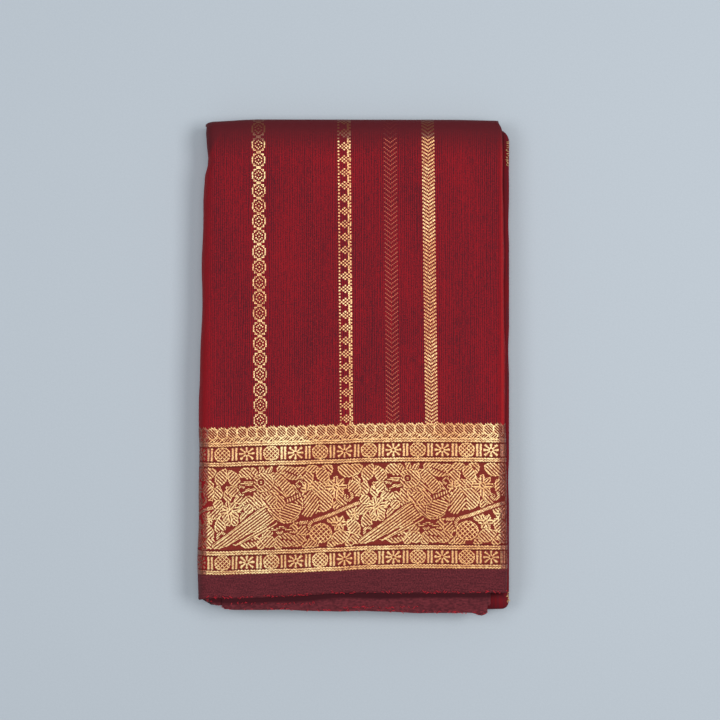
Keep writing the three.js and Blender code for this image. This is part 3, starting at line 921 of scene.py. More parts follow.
class Drawing:
    """Ridges of thread, flat: x along the border, y up from the cloth's free edge."""

    def __init__(self):
        self.points = []
        self.faces = []
        self.crest = []

    def ridge(self, path, width, height=THREAD_HEIGHT, shine=1.0):
        """A thread along a path, with a raised middle line; its crest value paints a highlight along it."""
        path = np.array(path, float)
        steps = [path[:1]]
        for a, b in zip(path[:-1], path[1:]):
            n = max(1, math.ceil(np.linalg.norm(b - a) / LONGEST_STEP))
            steps.append(a + (b - a) * np.arange(1, n + 1)[:, None] / n)
        path = np.concatenate(steps)
        ahead = np.gradient(path, axis=0)
        ahead /= np.linalg.norm(ahead, axis=1)[:, None] + 1e-12
        side = np.stack([-ahead[:, 1], ahead[:, 0]], -1) * width / 2
        start = len(self.points)
        for p, s in zip(path, side):
            self.points += [(*(p + s), 0.015), (*p, height), (*(p - s), 0.015)]
            self.crest += [0.0, shine, 0.0]
        for i in range(len(path) - 1):
            a = start + 3 * i
            self.faces += [(a + 1, a, a + 3, a + 4), (a + 2, a + 1, a + 4, a + 5)]

    def object(self, name, material):
        piece = new_object(name, np.array(self.points) * MM, self.faces, material)
        piece.data.attributes.new("crest", "FLOAT", "POINT").data.foreach_set("value", self.crest)
        return piece


def rounded(points, steps=5):
    """A smooth closed outline through a few points."""
    p = np.array(points, float)
    before, after, next_one = np.roll(p, 1, 0), np.roll(p, -1, 0), np.roll(p, -2, 0)
    out = []
    for t in np.arange(steps) / steps:
        out.append(0.5 * (2 * p + (after - before) * t + (2 * before - 5 * p + 4 * after - next_one) * t**2
                          + (3 * p - before - 3 * after + next_one) * t**3))
    return np.stack(out, 1).reshape(-1, 2)


def turned(points, degrees, x, y):
    a = math.radians(degrees)
    turn = np.array([[math.cos(a), math.sin(a)], [-math.sin(a), math.cos(a)]])
    return np.asarray(points, float) @ turn + (x, y)


def grown(outline_points, gap):
    """The outline moved out by a gap."""
    p = np.asarray(outline_points, float)
    ahead = np.roll(p, -1, 0) - np.roll(p, 1, 0)
    area = np.sum(p[:, 0] * np.roll(p[:, 1], -1) - np.roll(p[:, 0], -1) * p[:, 1])
    ahead /= np.linalg.norm(ahead, axis=1)[:, None] + 1e-12
    return p + math.copysign(gap, area) * np.stack([ahead[:, 1], -ahead[:, 0]], -1)


def spans_inside(outline_points, direction, level):
    """Where the line at this level, running in that direction, is inside an outline."""
    a = math.radians(direction)
    along = outline_points @ (math.cos(a), math.sin(a))
    across = outline_points @ (-math.sin(a), math.cos(a))
    next_along, next_across = np.roll(along, -1), np.roll(across, -1)
    cross = (across <= level) != (next_across <= level)
    share = (level - across[cross]) / (next_across[cross] - across[cross])
    cuts = np.sort(along[cross] + share * (next_along[cross] - along[cross]))
    return list(zip(cuts[0::2], cuts[1::2]))


def without(spans, hole):
    """The spans with one stretch taken out."""
    low, high = hole
    out = []
    for a, b in spans:
        if b <= low or a >= high:
            out.append((a, b))
        else:
            out += [(s, e) for s, e in ((a, low), (high, b)) if e - s > 0.05]
    return out


def holds(outline_points, points):
    """Which points are inside an outline."""
    x, y = points[:, 0][:, None], points[:, 1][:, None]
    x0, y0 = outline_points[:, 0], outline_points[:, 1]
    x1, y1 = np.roll(x0, -1), np.roll(y0, -1)
    cross = (y0 <= y) != (y1 <= y)
    with np.errstate(divide="ignore", invalid="ignore"):
        at = x0 + (y - y0) / (y1 - y0) * (x1 - x0)
    return (np.sum(cross & (at > x), 1) % 2).astype(bool)


class Figure:
    """One figure: an outline, the direction of its threads, and a rim if it has one."""

    def __init__(self, outline_points, direction=None, rim=0.0, crossed=False, gap=FIGURE_GAP, fine=False,
                 inside=0.2):
        self.outline = np.asarray(outline_points, float)
        self.inside = inside
        self.fine = fine
        self.direction = direction
        self.rim = rim
        self.crossed = crossed
        self.blocker = grown(self.outline, gap + THREAD_SIDE)
        self.low, self.high = self.blocker.min(0), self.blocker.max(0)


def blockers_over(figure, later_figures, shifts):
    """Blockers of the later figures that come near this one."""
    over = []
    for later in later_figures:
        for shift in shifts:
            low, high = later.low + shift, later.high + shift
            if np.all(figure.low < high) and np.all(low < figure.high):
                over.append(later.blocker + shift)
    return over


def draw_rim(drawing, figure, over):
    """A thread round the figure's edge, where no later figure lies."""
    edge = grown(figure.outline, -figure.rim / 2)
    for a, b in zip(edge, np.roll(edge, -1, 0)):
        middle = (a + b)[None] / 2
        if not any(holds(blocker, middle)[0] for blocker in over):
            drawing.ridge([a, b], figure.rim)


def draw_threads(drawing, inner, direction, pitch, width, over):
    """Parallel threads across an outline, cut where a later figure lies."""
    a = math.radians(direction)
    across = inner @ (-math.sin(a), math.cos(a))
    for k in range(math.ceil(across.min() / pitch), math.floor(across.max() / pitch) + 1):
        level = k * pitch + 1e-4
        spans = spans_inside(inner, direction, level)
        for blocker in over:
            for hole in spans_inside(blocker, direction, level):
                spans = without(spans, hole)
        for span in spans:
            if span[1] - span[0] > SHORTEST_THREAD:
                ends = [(t * math.cos(a) - level * math.sin(a), t * math.sin(a) + level * math.cos(a))
                        for t in span]
                drawing.ridge(ends, width)


def draw_figures(drawing, figures, period=None, pitch=THREAD_PITCH_MM, width=THREAD_WIDTH):
    """Threads of every figure, cut by the figures drawn after it, also across the repeat's ends."""
    shifts = [(0.0, 0.0)] if period is None else [(-period, 0.0), (0.0, 0.0), (period, 0.0)]
    for n, figure in enumerate(figures):
        over = blockers_over(figure, figures[n + 1:], shifts)
        if figure.rim:
            draw_rim(drawing, figure, over)
        if figure.direction is None:
            continue
        inner = grown(figure.outline, -(figure.rim + figure.inside)) if figure.rim else figure.outline
        step, thread = pitch, width
        if figure.fine:
            step, thread = FINE_PITCH, FINE_WIDTH
        elif figure.crossed:
            step, thread = pitch * CROSSED_PITCH, width * CROSSED_WIDTH
        turns = (figure.direction, figure.direction + 90) if figure.crossed else (figure.direction,)
        for direction in turns:
            draw_threads(drawing, inner, direction, step, thread, over)


print("a thread line every", THREAD_PITCH_MM, "mm")

# %% [markdown]
# ## Figures of the border
#
# The figures are the common ones of such borders: a bird with a long tail, leaves, eight-petalled
# flowers, round fruit, a mango drop and curled stems. Each shape is a small function, and tables say
# where the figures stand in one repeat, how large they are and how they are turned. What is listed
# later lies over what is listed before.

# %% Shapes of the figures
def leaf_shape(length, width):
    u = np.linspace(0, 1, 9)
    half = width / 2 * np.sin(math.pi * u**0.85) ** 0.9
    x = (u - 0.5) * length
    return np.concatenate([np.stack([x, half], -1), np.stack([x, -half], -1)[-2:0:-1]])


def round_shape(radius, steps=18, squash=1.0):
    a = np.linspace(0, 2 * math.pi, steps, endpoint=False)
    return np.stack([radius * np.cos(a), radius * squash * np.sin(a)], -1)


def leaf(x, y, length, width, turn, direction):
    """A leaf. A long one has a bare vein down its middle."""
    made = [Figure(turned(leaf_shape(length, width), turn, x, y), direction, rim=LEAF_RIM)]
    if length > 12:
        made.append(Figure(turned(leaf_shape(length * 0.8, 0.30), turn, x, y), None, gap=0.10))
    return made


def flower(x, y, radius, petals, turn, direction):
    """Petals round a small ring."""
    made = []
    for n in range(petals):
        a = turn + 360 * n / petals
        reach = radius * 0.66
        place = (x + reach * math.cos(math.radians(a)), y + reach * math.sin(math.radians(a)))
        petal = turned(leaf_shape(radius * 0.74, radius * 3.1 / petals), a, *place)
        made.append(Figure(petal, a, rim=0.50, gap=0.30))
    made.append(Figure(round_shape(radius * 0.22, 10) + (x, y), direction + 90, rim=0.6, gap=0.40))
    return made


def fruit(x, y, radius, direction):
    return [Figure(round_shape(radius) + (x, y), direction, rim=0.62, gap=0.9)]


def mango(x, y, size, turn):
    outline_points = rounded([(0, -0.5), (0.30, -0.30), (0.34, 0.02), (0.18, 0.34), (-0.02, 0.5),
                              (-0.10, 0.52), (-0.02, 0.36), (-0.16, 0.22), (-0.32, 0.0), (-0.28, -0.32)])
    whole = turned(outline_points * size, turn, x, y)
    return [Figure(whole, None, rim=0.85, gap=0.9), Figure(grown(whole, -2.0), 52, gap=0.1)]


def curl(x, y, size, turn, hand=1):
    """A curled stem end, as a broad spiral band."""
    a = np.linspace(0, 1.55 * math.pi, 16)
    r = size * (0.30 + 0.16 * a / math.pi)
    mid = np.stack([r * np.cos(a), hand * r * np.sin(a)], -1)
    ahead = np.gradient(mid, axis=0)
    ahead /= np.linalg.norm(ahead, axis=1)[:, None]
    side = np.stack([-ahead[:, 1], ahead[:, 0]], -1) * np.linspace(0.10, 0.17, 16)[:, None] * size
    band = turned(np.concatenate([mid + side, (mid - side)[::-1]]), turn, x, y)
    return [Figure(band, 45 * hand, gap=0.6, fine=True)]


def band_shape(path, width):
    """A stem: a band of even width along a path."""
    path = np.array(path, float)
    ahead = np.gradient(path, axis=0)
    ahead /= np.linalg.norm(ahead, axis=1)[:, None]
    side = np.stack([-ahead[:, 1], ahead[:, 0]], -1) * width / 2
    return np.concatenate([path + side, (path - side)[::-1]])


# %% The bird, leaves and fruit of one repeat
CELL = 15.28
PERIOD = 6 * CELL
BAND_LOW = 30.8
BAND_HEIGHT = 51.0

# x, y, length, width, turn, direction of the threads
LEAVES = [
    (5.5, 45.5, 11, 6.4, 62, -45), (13.0, 44.5, 11, 6.0, 118, 45), (20.5, 47.8, 8, 5.0, 20, -45),
    (12.5, 36.5, 9, 5.0, 150, 45), (3.0, 35.5, 9, 5.4, 80, -45), (17.5, 31.0, 8, 4.6, 10, 45),
    (4.5, 14.5, 10, 5.8, 100, -45), (23.0, 4.6, 13, 7.0, 8, -45), (34.5, 4.4, 10, 6.4, 160, 45),
    (33.0, 12.6, 9, 5.0, 28, -45), (46.5, 5.0, 14, 7.6, -8, -45), (55.5, 11.8, 12, 6.6, -32, 45),
    (38.5, 48.0, 11, 5.0, 14, 45), (49.5, 46.5, 13, 6.8, -22, 45), (59.5, 43.0, 10, 6.0, 60, -45),
    (62.0, 49.2, 8, 4.2, 0, 45), (69.0, 44.5, 11, 6.2, -50, 45), (70.0, 37.2, 8, 4.8, 12, -45),
    (84.0, 47.0, 12, 7.0, -24, -45), (88.5, 36.0, 11, 6.6, 118, 45), (75.0, 21.5, 10, 6.0, 150, 45),
    (85.0, 24.5, 11, 6.4, 35, -45), (80.0, 5.6, 12, 7.4, 20, -45), (88.0, 11.6, 11, 6.4, 128, 45),
    (90.5, 3.6, 9, 5.0, -10, -45), (61.0, 19.0, 9, 4.8, 70, -45),
]
# x, y, radius, petals, turn, direction
FLOWERS = [
    (10.5, 24.0, 6.3, 8, 10, -45), (77.0, 37.0, 6.6, 8, 0, 45), (59.0, 35.6, 3.8, 5, 20, -45),
    (79.0, 14.2, 4.4, 6, 0, -45), (27.0, 12.0, 3.0, 5, 0, 45), (88.5, 18.5, 3.0, 5, 30, 45),
]
# x, y, radius, direction
FRUITS = [(68.5, 28.5, 6.2, -45), (22.5, 25.0, 2.4, 45), (50.5, 12.0, 2.2, -45), (3.4, 28.4, 2.4, 45)]
# x, y, size, turn, hand
CURLS = [(18.0, 36.2, 6.0, 200, 1), (63.5, 12.6, 6.5, 30, -1), (84.5, 30.6, 5.5, 130, 1),
         (42.0, 11.6, 5.0, 80, -1), (6.0, 8.2, 5.5, 300, 1), (54.5, 40.2, 4.2, 0, 1)]


def back_leaves(seed, spacing, length):
    """Leaves on a jittered grid, which fill the ground between the larger figures."""
    rng = np.random.default_rng(seed)
    made = []
    across = round(PERIOD / spacing)
    down = round(BAND_HEIGHT / spacing)
    for i in range(across):
        for j in range(down):
            x = (i + 0.5 + rng.uniform(-0.3, 0.3)) * PERIOD / across
            y = (j + 0.5 + rng.uniform(-0.2, 0.2)) * BAND_HEIGHT / down
            turn = rng.choice((28, 62, 118, 152)) + rng.uniform(-10, 10)
            made += leaf(x, y, length, length * 0.6, turn, rng.choice((-45, 45)))
    return made


def shown_share(figure, over):
    """How much of a figure the ones over it leave in sight."""
    middle = figure.outline.mean(0)
    samples = np.concatenate([middle + (figure.outline - middle) * t for t in (0.25, 0.55, 0.85)])
    hidden = np.zeros(len(samples), bool)
    for other in over:
        for shift in (-PERIOD, 0.0, PERIOD):
            low, high = other.low + (shift, 0), other.high + (shift, 0)
            if np.all(figure.low < high) and np.all(low < figure.high):
                hidden |= holds(other.blocker + (shift, 0), samples)
    return 1 - hidden.mean()


def in_sight(under, over, least):
    """Keeps the figures of which at least that share shows, from the top one down."""
    kept = []
    for figure in reversed(under):
        if shown_share(figure, kept + over) >= least:
            kept.insert(0, figure)
    return kept


def bird():
    """A bird that faces left, its head up and its long tail swept down behind it."""
    tail = rounded([(37, 25), (30, 24.5), (19, 16.5), (8, 8.5), (0.5, 3.2), (1.5, 1.2), (8, 2.6),
                    (20, 8.6), (31, 13.8), (39, 18.5)])
    under_tail = rounded([(36, 19), (29, 14.5), (19, 8), (12.5, 4.2), (15.5, 3.2), (24, 7.2), (34, 12.2),
                          (40, 16.5)])
    body = rounded([(31, 31.5), (34, 25.5), (38.5, 19.5), (44.5, 16.0), (51.5, 17.6), (55.6, 23.8),
                    (55.2, 31.4), (51.0, 37.6), (44.5, 42.4), (38.0, 44.6), (33.5, 42.0), (30.8, 37)])
    breast = rounded([(42.5, 19.0), (48.0, 17.6), (53.2, 20.6), (54.6, 25.6), (49.0, 27.2), (43.4, 26.0)])
    wing = rounded([(30.5, 33.5), (34.0, 35.6), (39.0, 34.2), (43.6, 30.0), (44.6, 26.4), (40.0, 25.2),
                    (34.6, 25.6), (31.4, 29.0)])
    wing_bar = rounded([(33.2, 31.6), (36.2, 32.6), (39.6, 30.6), (39.2, 28.0), (35.6, 27.6)])
    neck = rounded([(35.6, 45.6), (39.6, 42.2), (44.0, 36.2), (46.8, 32.8), (50.6, 33.6), (49.6, 38.0),
                    (45.0, 42.8), (40.0, 46.6)])
    collar = band_shape([(44.2, 28.8), (48.0, 30.0), (52.0, 31.8), (55.2, 33.2)], 2.0)
    head = rounded([(25.0, 40.2), (26.4, 44.2), (30.4, 46.4), (35.0, 45.6), (37.6, 42.0), (36.2, 38.0),
                    (32.0, 36.0), (27.6, 36.8)])
    beak_top = np.array([(25.4, 42.4), (20.6, 42.4), (16.6, 40.4), (20.4, 39.9), (24.8, 39.9)])
    beak_low = np.array([(25.6, 38.4), (21.0, 37.2), (18.4, 34.9), (22.6, 35.6), (27.2, 36.6)])
    crest = [turned(leaf_shape(6.0, 2.4), turn, x, y) for x, y, turn in
             ((26.0, 48.4, 128), (30.6, 49.6, 92), (35.4, 48.6, 52))]
    foot = band_shape([(44.0, 16.4), (43.0, 13.4), (39.6, 11.6), (36.6, 11.8)], 1.3)
    toes = band_shape([(43.0, 13.4), (46.6, 11.4), (49.6, 11.8)], 1.2)
    return [
        Figure(under_tail, 30, rim=LEAF_RIM, gap=0.8), Figure(tail, 36, rim=0.5, gap=1.0),
        Figure(foot, 0, gap=0.8, fine=True), Figure(toes, 0, gap=0.8, fine=True),
        *(Figure(c, 60, rim=0.4, gap=0.7) for c in crest),
        Figure(body, -42, rim=0.5, gap=1.0), Figure(neck, 45, rim=0.5, gap=0.85),
        Figure(breast, -20, rim=0.5, gap=0.85), Figure(collar, 100, gap=0.8),
        Figure(wing, -50, rim=0.6, gap=0.85), Figure(wing_bar, 45, rim=0.45, gap=0.6),
        Figure(head, -45, rim=0.6, gap=0.95), Figure(beak_top, 0, gap=0.9, fine=True),
        Figure(beak_low, 20, gap=0.9, fine=True),
        Figure(round_shape(2.2) + (30.2, 41.4), None, rim=0.6, gap=0.5),
        Figure(round_shape(0.8, 8) + (30.2, 41.4), 0, gap=0.2, fine=True),
    ]


def band_figures():
    """All figures of one repeat, the lowest first."""
    stem = [(x, 21.5 + 6.0 * math.sin(2 * math.pi * (x + 14) / PERIOD)) for x in np.linspace(54, 92, 20)]
    over = [Figure(band_shape(stem, 2.0), -62, gap=0.7, fine=True)]
    for row in FLOWERS:
        over += flower(*row)
    for row in CURLS:
        over += curl(*row)
    over.append(Figure(round_shape(6.4, 20, 0.86) + (67.5, 8.4), 40, rim=0.6, crossed=True, gap=0.9))
    for row in FRUITS:
        over += fruit(*row)
    over += mango(60.4, 27.0, 12.5, -8)
    over += bird()
    leaves = [figure for row in LEAVES for figure in leaf(*row)]
    leaves = in_sight(leaves, over, 0.42)
    large = in_sight(back_leaves(5, 8.0, 10.6), leaves + over, 0.42)
    buds = in_sight(back_leaves(9, 4.0, 6.4), large + leaves + over, 0.62)
    return buds + large + leaves + over


def clipped_to_band(figures):
    """Keeps outlines inside the band, so that no thread crosses its ropes."""
    for figure in figures:
        figure.outline[:, 1] = figure.outline[:, 1].clip(0.35, BAND_HEIGHT - 0.35)
    return figures


# %% [markdown]
# ## Rows and ropes of the border
#
# Above and below the birds run two rows of small cells, a crossed circle and an eight-petalled flower
# in turn with two bars between them. Twin ropes part the rows, and a last rope of rings with small
# lozenges below it ends the border towards the field. Each is drawn once, as one repeat.

# %% One repeat of each row
# low, height of each row of cells
CELL_ROWS = [(18.4, 8.1), (86.2, 8.1)]
ROPE_PITCH = 1.9
ROPE_WAVE = 0.26
RING_PITCH = 6.17
RING_ROW = (98.1, 8.2)


def rope_repeat(low, height):
    """One twist of a pair of ropes: two strands that wave together, with a thin dark line between."""
    drawing = Drawing()
    x = np.linspace(-ROPE_PITCH / 2, ROPE_PITCH / 2, 9)
    wave = ROPE_WAVE * np.sin(2 * math.pi * x / ROPE_PITCH)
    for share in (0.25, 0.75):
        drawing.ridge(np.stack([x, low + height * share + wave], -1), height * 0.43, 0.17, shine=0.9)
    return drawing


def cell_repeat(low, height):
    """A crossed circle and a flower, each between two pairs of bars."""
    drawing = Drawing()
    middle = low + height / 2
    radius = height / 2 - 0.15
    circle = Figure(round_shape(radius + 0.45, 20, radius / (radius + 0.45)) + (0, middle), 45, rim=0.62,
                    crossed=True)
    draw_figures(drawing, [circle], pitch=1.42, width=0.95)
    for n in range(8):
        a = math.radians(45 * n)
        reach = radius * (1.05 if n % 2 == 0 else 1.22)
        start = np.array([CELL + 0.9 * math.cos(a), middle + 0.8 * math.sin(a)])
        end = np.array([CELL + 1.18 * reach * math.cos(a), middle + reach * math.sin(a)])
        mid = start * 0.4 + end * 0.6
        drawing.ridge([start, mid], 1.20)
        drawing.ridge([mid, end], 1.95)
    for side in (0.5, 1.5):
        for offset in (-1.08, 1.08):
            x = side * CELL + offset
            drawing.ridge([(x, low + 0.1), (x, low + height - 0.1)], 1.70)
    return drawing


def ring_repeat(low, height):
    """One ring of the end rope, over one of a lower row, each tucked under its right neighbour."""
    drawing = Drawing()
    figures = []
    for x, y, radius in ((RING_PITCH / 2, low + 2.95, 2.95), (0.0, low + height - 2.95, 2.95)):
        ring = round_shape(radius, 18) + (x, y)
        figures.append(Figure(ring, 45 if x else -45, rim=0.74, gap=0.10, inside=0.55))
        figures.append(Figure(ring + (RING_PITCH, 0), gap=-0.25))
        figures.append(Figure(ring - (RING_PITCH, 0), gap=-0.25))
    draw_figures(drawing, figures, pitch=1.30, width=0.60)
    return drawing


def band_repeat():
    drawing = Drawing()
    draw_figures(drawing, clipped_to_band(band_figures()), period=PERIOD)
    drawing.points = [(x, y + BAND_LOW, z) for x, y, z in drawing.points]
    return drawing


# %% [markdown]
# ## Stripes of the field
#
# The stripes are small repeats, so they are charted like a weaver's draft: one character for each
# crossing of threads, x where gold lies on top. The charts below are made up for this cloth: a chain
# of rosettes, stepped triangles against a solid edge, and chevrons.

# %% Charts of the stripes
ROSETTES = """
...xxx...
.xx...xx.
.x..x..x.
x..x.x..x
x.x...x.x
x...x...x
x.x...x.x
x..x.x..x
.x..x..x.
.xx...xx.
...xxx...
"""
STEPS = """
x....xx
...x.x.
x.x.x.x
.x.x.xx
x.x.x.x
...x.x.
x....xx
.....x.
"""
FAINT = """
x....
.....
...x.
.....
.x...
.....
....x
.....
"""


CHEVRON_THREADS = 9
CHEVRON_ROWS = 4
CHEVRON_FILLED = 2


def chevron_chart(dotted):
    """Chevrons that point down. Dotted ones leave out every other crossing."""
    rows = []
    for j in range(2 * CHEVRON_ROWS):
        row = ""
        for i in range(CHEVRON_THREADS):
            filled = (j + abs(i - CHEVRON_THREADS // 2)) % CHEVRON_ROWS < CHEVRON_FILLED
            left_out = dotted and (i + j) % 2 == 1
            row += "x" if filled and not left_out else "."
        rows.append(row)
    return "\n".join(rows)


CHEVRONS = chevron_chart(dotted=False)
ROSE_CHEVRONS = chevron_chart(dotted=True)


def chart_repeat(chart, width, row_height):
    """One repeat of a charted stripe, as short upright threads."""
    drawing = Drawing()
    lines = chart.strip().splitlines()
    cell = width / len(lines[0])
    for j, line in enumerate(lines):
        for i, mark in enumerate(line):
            if mark == "x":
                x = (i + 0.5) * cell - width / 2
                y = -(j + 0.5) * row_height
                drawing.ridge([(x, y - 0.44 * row_height), (x, y + 0.44 * row_height)], cell * 1.10, 0.15)
    return drawing, len(lines) * row_height


print("stripes are charted on", len(ROSETTES.split()[0]), "threads")

# %% [markdown]
# ## Laying the drawing on the cloth
#
# A Geometry Nodes tree takes one repeat, sets it out at its pitch, and lays it on the cover. Sample UV
# Surface finds the point of the cloth whose flat place is the drawing's x and y, and each thread is
# lifted off it along the cloth's own normal. What runs past the cloth's edge has no such point and is
# deleted. The tree ends in Set Material, and its result is made a plain mesh.

# %% A helper for Geometry Nodes
class Grower:
    """A Geometry Nodes tree with named inputs, made one line at a time."""

    def __init__(self, name, **kinds):
        self.tree = bpy.data.node_groups.new(name, "GeometryNodeTree")
        self.tree.is_modifier = True
        face = self.tree.interface
        face.new_socket("Geometry", in_out="INPUT", socket_type="NodeSocketGeometry")
        for key, kind in kinds.items():
            face.new_socket(key, in_out="INPUT", socket_type="NodeSocket" + kind)
        face.new_socket("Geometry", in_out="OUTPUT", socket_type="NodeSocketGeometry")
        self.given = self.node("NodeGroupInput").outputs

    def node(self, kind, inputs=(), **settings):
        made = self.tree.nodes.new(kind)
        for key, value in settings.items():
            setattr(made, key, value)
        for key, value in dict(inputs).items():
            if isinstance(value, bpy.types.NodeSocket):
                self.tree.links.new(value, made.inputs[key])
            else:
                made.inputs[key].default_value = value
        return made

    def ends_in(self, geometry, material):
        """Realized instances get their material last."""
        dressed = self.node("GeometryNodeSetMaterial", {"Geometry": geometry, "Material": material})
        self.node("NodeGroupOutput", {"Geometry": dressed.outputs[0]})
        return self.tree


def grow(piece, tree, values):
    """Runs a tree on a piece and keeps the result as the piece's plain mesh."""
    modifier = piece.modifiers.new("grow", "NODES")
    modifier.node_group = tree
    for item in tree.interface.items_tree:
        if item.in_out == "INPUT" and item.name in values:
            modifier[item.identifier] = values[item.name]
    evaluated = piece.evaluated_get(bpy.context.evaluated_depsgraph_get())
    mesh = bpy.data.meshes.new_from_object(evaluated)
    piece.modifiers.clear()
    piece.data = mesh
    mesh.name = piece.name
    mesh.shade_smooth()
    return piece


# %% The tree that repeats a drawing and lays it on the cloth
def lay_on_cloth_tree():
    g = Grower("lay_on_cloth", Cloth="Object", Start="Vector", Pitch="Vector", Count="Int",
               Thread="Material")
    row = g.node("GeometryNodeMeshLine", {"Count": g.given["Count"], "Start Location": g.given["Start"],
                                          "Offset": g.given["Pitch"]}, mode="OFFSET")
    copies = g.node("GeometryNodeInstanceOnPoints", {"Points": row.outputs[0],
                                                     "Instance": g.given["Geometry"]})
    real = g.node("GeometryNodeRealizeInstances", {"Geometry": copies.outputs[0]}).outputs[0]
    cloth = g.node("GeometryNodeObjectInfo", {"Object": g.given["Cloth"]}).outputs["Geometry"]
    uv = g.node("GeometryNodeInputNamedAttribute", {"Name": "flat_cloth"}, data_type="FLOAT_VECTOR")
    flat = g.node("ShaderNodeSeparateXYZ", {0: g.node("GeometryNodeInputPosition").outputs[0]})
    sample_at = g.node("ShaderNodeCombineXYZ", {0: flat.outputs[0], 1: flat.outputs[1]})
    found = []
    for field in ("GeometryNodeInputPosition", "GeometryNodeInputNormal"):
        found.append(g.node("GeometryNodeSampleUVSurface", {
            "Mesh": cloth, "Value": g.node(field).outputs[0], "Source UV Map": uv.outputs[0],
            "Sample UV": sample_at.outputs[0]}, data_type="FLOAT_VECTOR"))
    on_cloth, normal = found
    lift = g.node("ShaderNodeVectorMath", {0: normal.outputs[0], "Scale": flat.outputs[2]}, operation="SCALE")
    place = g.node("ShaderNodeVectorMath", {0: on_cloth.outputs[0], 1: lift.outputs[0]})
    beyond = g.node("FunctionNodeBooleanMath", {0: on_cloth.outputs[1]}, operation="NOT")
    marked = g.node("GeometryNodeStoreNamedAttribute", {"Geometry": real, "Name": "beyond",
                                                        "Value": beyond.outputs[0]}, data_type="BOOLEAN")
    moved = g.node("GeometryNodeSetPosition", {"Geometry": marked.outputs[0], "Position": place.outputs[0]})
    was_beyond = g.node("GeometryNodeInputNamedAttribute", {"Name": "beyond"}, data_type="BOOLEAN")
    cut = g.node("GeometryNodeDeleteGeometry", {"Geometry": moved.outputs[0],
                                                "Selection": was_beyond.outputs[0]})
    return g.ends_in(cut.outputs[0], g.given["Thread"])


LAY_ON_CLOTH = lay_on_cloth_tree()


def laid(drawing, name, start, pitch, count, material):
    """One repeat of a drawing, set out at its pitch and laid on the cover, as a plain mesh."""
    values = {"Cloth": cover, "Start": start, "Pitch": pitch, "Count": count, "Thread": material}
    return grow(drawing.object(name, material), LAY_ON_CLOTH, values)


def joined(pieces, name):
    """Several laid drawings as one piece."""
    for other in bpy.context.selected_objects:
        other.select_set(False)
    for piece in pieces:
        piece.select_set(True)
    bpy.context.view_layer.objects.active = pieces[0]
    if len(pieces) > 1:
        bpy.ops.object.join()
    pieces[0].name = name
    return pieces[0]


# %% [markdown]
# ## Gold thread
#
# Zari is a flat metal strip wound on a yarn. It is bright where it faces the light and copper-brown
# between, never mirror-like, so the finish is part metal with a fairly wide gloss. Along each thread
# the strip turns, which makes it sparkle: a fine noise shifts the roughness, and the colour carries
# painted glints and brighter painted patches, a painted highlight along each thread's middle, and
# painted shade across the middle of the border, round the side folds and past the far shoulder.

# %% Gold, rose and red threads
DIM_LEFT = (-91.2 + SHIFT_X) * MM
DIM_RIGHT = (91.5 + SHIFT_X) * MM
DIM_MIDDLE = -84.0 * MM
DIM_TAPER = 0.20
DIM_FAR = (FAR_FLAT - 2.6 + SHIFT_Y) * MM
DIM_SLANT = -0.022
# painted shade of the gold round the side folds, with painted glints
FOLD_SHADE_LIGHT = (0.360, 0.110, 0.050, 1.0)
FOLD_SHADE_DARK = (0.130, 0.032, 0.016, 1.0)
# painted shade of the gold past the far shoulder
FAR_SHADE_THREAD = (0.165, 0.048, 0.020, 1.0)


def thread_material(name, light, middle, dark, metallic, rough, gloss, shade_past_fold=FAR_SHADE_THREAD):
    """Thread with a painted highlight on its crest, painted shade past the side folds and far shoulder."""
    shader = Shader(name)
    place, x, y, _ = shader.place()
    sparkle = shader.noise(place, 1100.0, 2.0)
    patch = shader.noise(place, 34.0, 2.0)
    crest = shader.node("ShaderNodeAttribute", attribute_name="crest").outputs["Fac"]
    # painted shade: the gold is duller across the middle of the border
    shaded_middle = shader.band(x, -0.040, 0.082, 0.014)
    share = shader.math("MULTIPLY_ADD", patch, 0.9, shader.math("MULTIPLY_ADD", sparkle, 3.0, -2.17))
    # painted highlight and shade: each thread is bright along its raised middle and dark at its sides
    share = shader.math("MULTIPLY_ADD", crest, 1.62, share, clamp=True)
    # painted light: brighter patches and glints from the noise lift the gold towards its lightest colour
    glow = shader.math("MULTIPLY_ADD", patch, 2.2, shader.math("MULTIPLY_ADD", sparkle, 2.2, -1.75))
    glow = shader.math("MULTIPLY_ADD", shaded_middle, -0.35, glow, clamp=True)
    colour = shader.blend(share, dark, shader.blend(glow, middle, light))
    # painted shade: round the side folds the gold turns dark brown
    taper = shader.math("MULTIPLY_ADD", shader.math("SUBTRACT", y, DIM_MIDDLE), DIM_TAPER, 1.0)
    on_top = shader.band(shader.math("MULTIPLY", x, taper), DIM_LEFT, DIM_RIGHT, 0.0006)
    glint = shader.ramp(sparkle, 0.42, 0.62)
    colour = shader.blend(on_top, shader.blend(glint, FOLD_SHADE_DARK, FOLD_SHADE_LIGHT), colour)
    # painted shade: past the far shoulder the threads take a darker colour
    before_fold = shader.band(shader.math("MULTIPLY_ADD", x, DIM_SLANT, y), -1.0, DIM_FAR, 0.0009)
    colour = shader.blend(before_fold, shade_past_fold, colour)
    roughness = shader.ramp(sparkle, 0.3, 0.7, rough + 0.10, rough - 0.08)
    shader.join(roughness, shader.surface.inputs["Roughness"])
    shader.bump(shader.noise(place, (2600.0, 2600.0, 2600.0), 1.0), strength=0.35, depth=0.05 * MM)
    return shader.finish(colour, Metallic=metallic, Specular_IOR_Level=gloss)


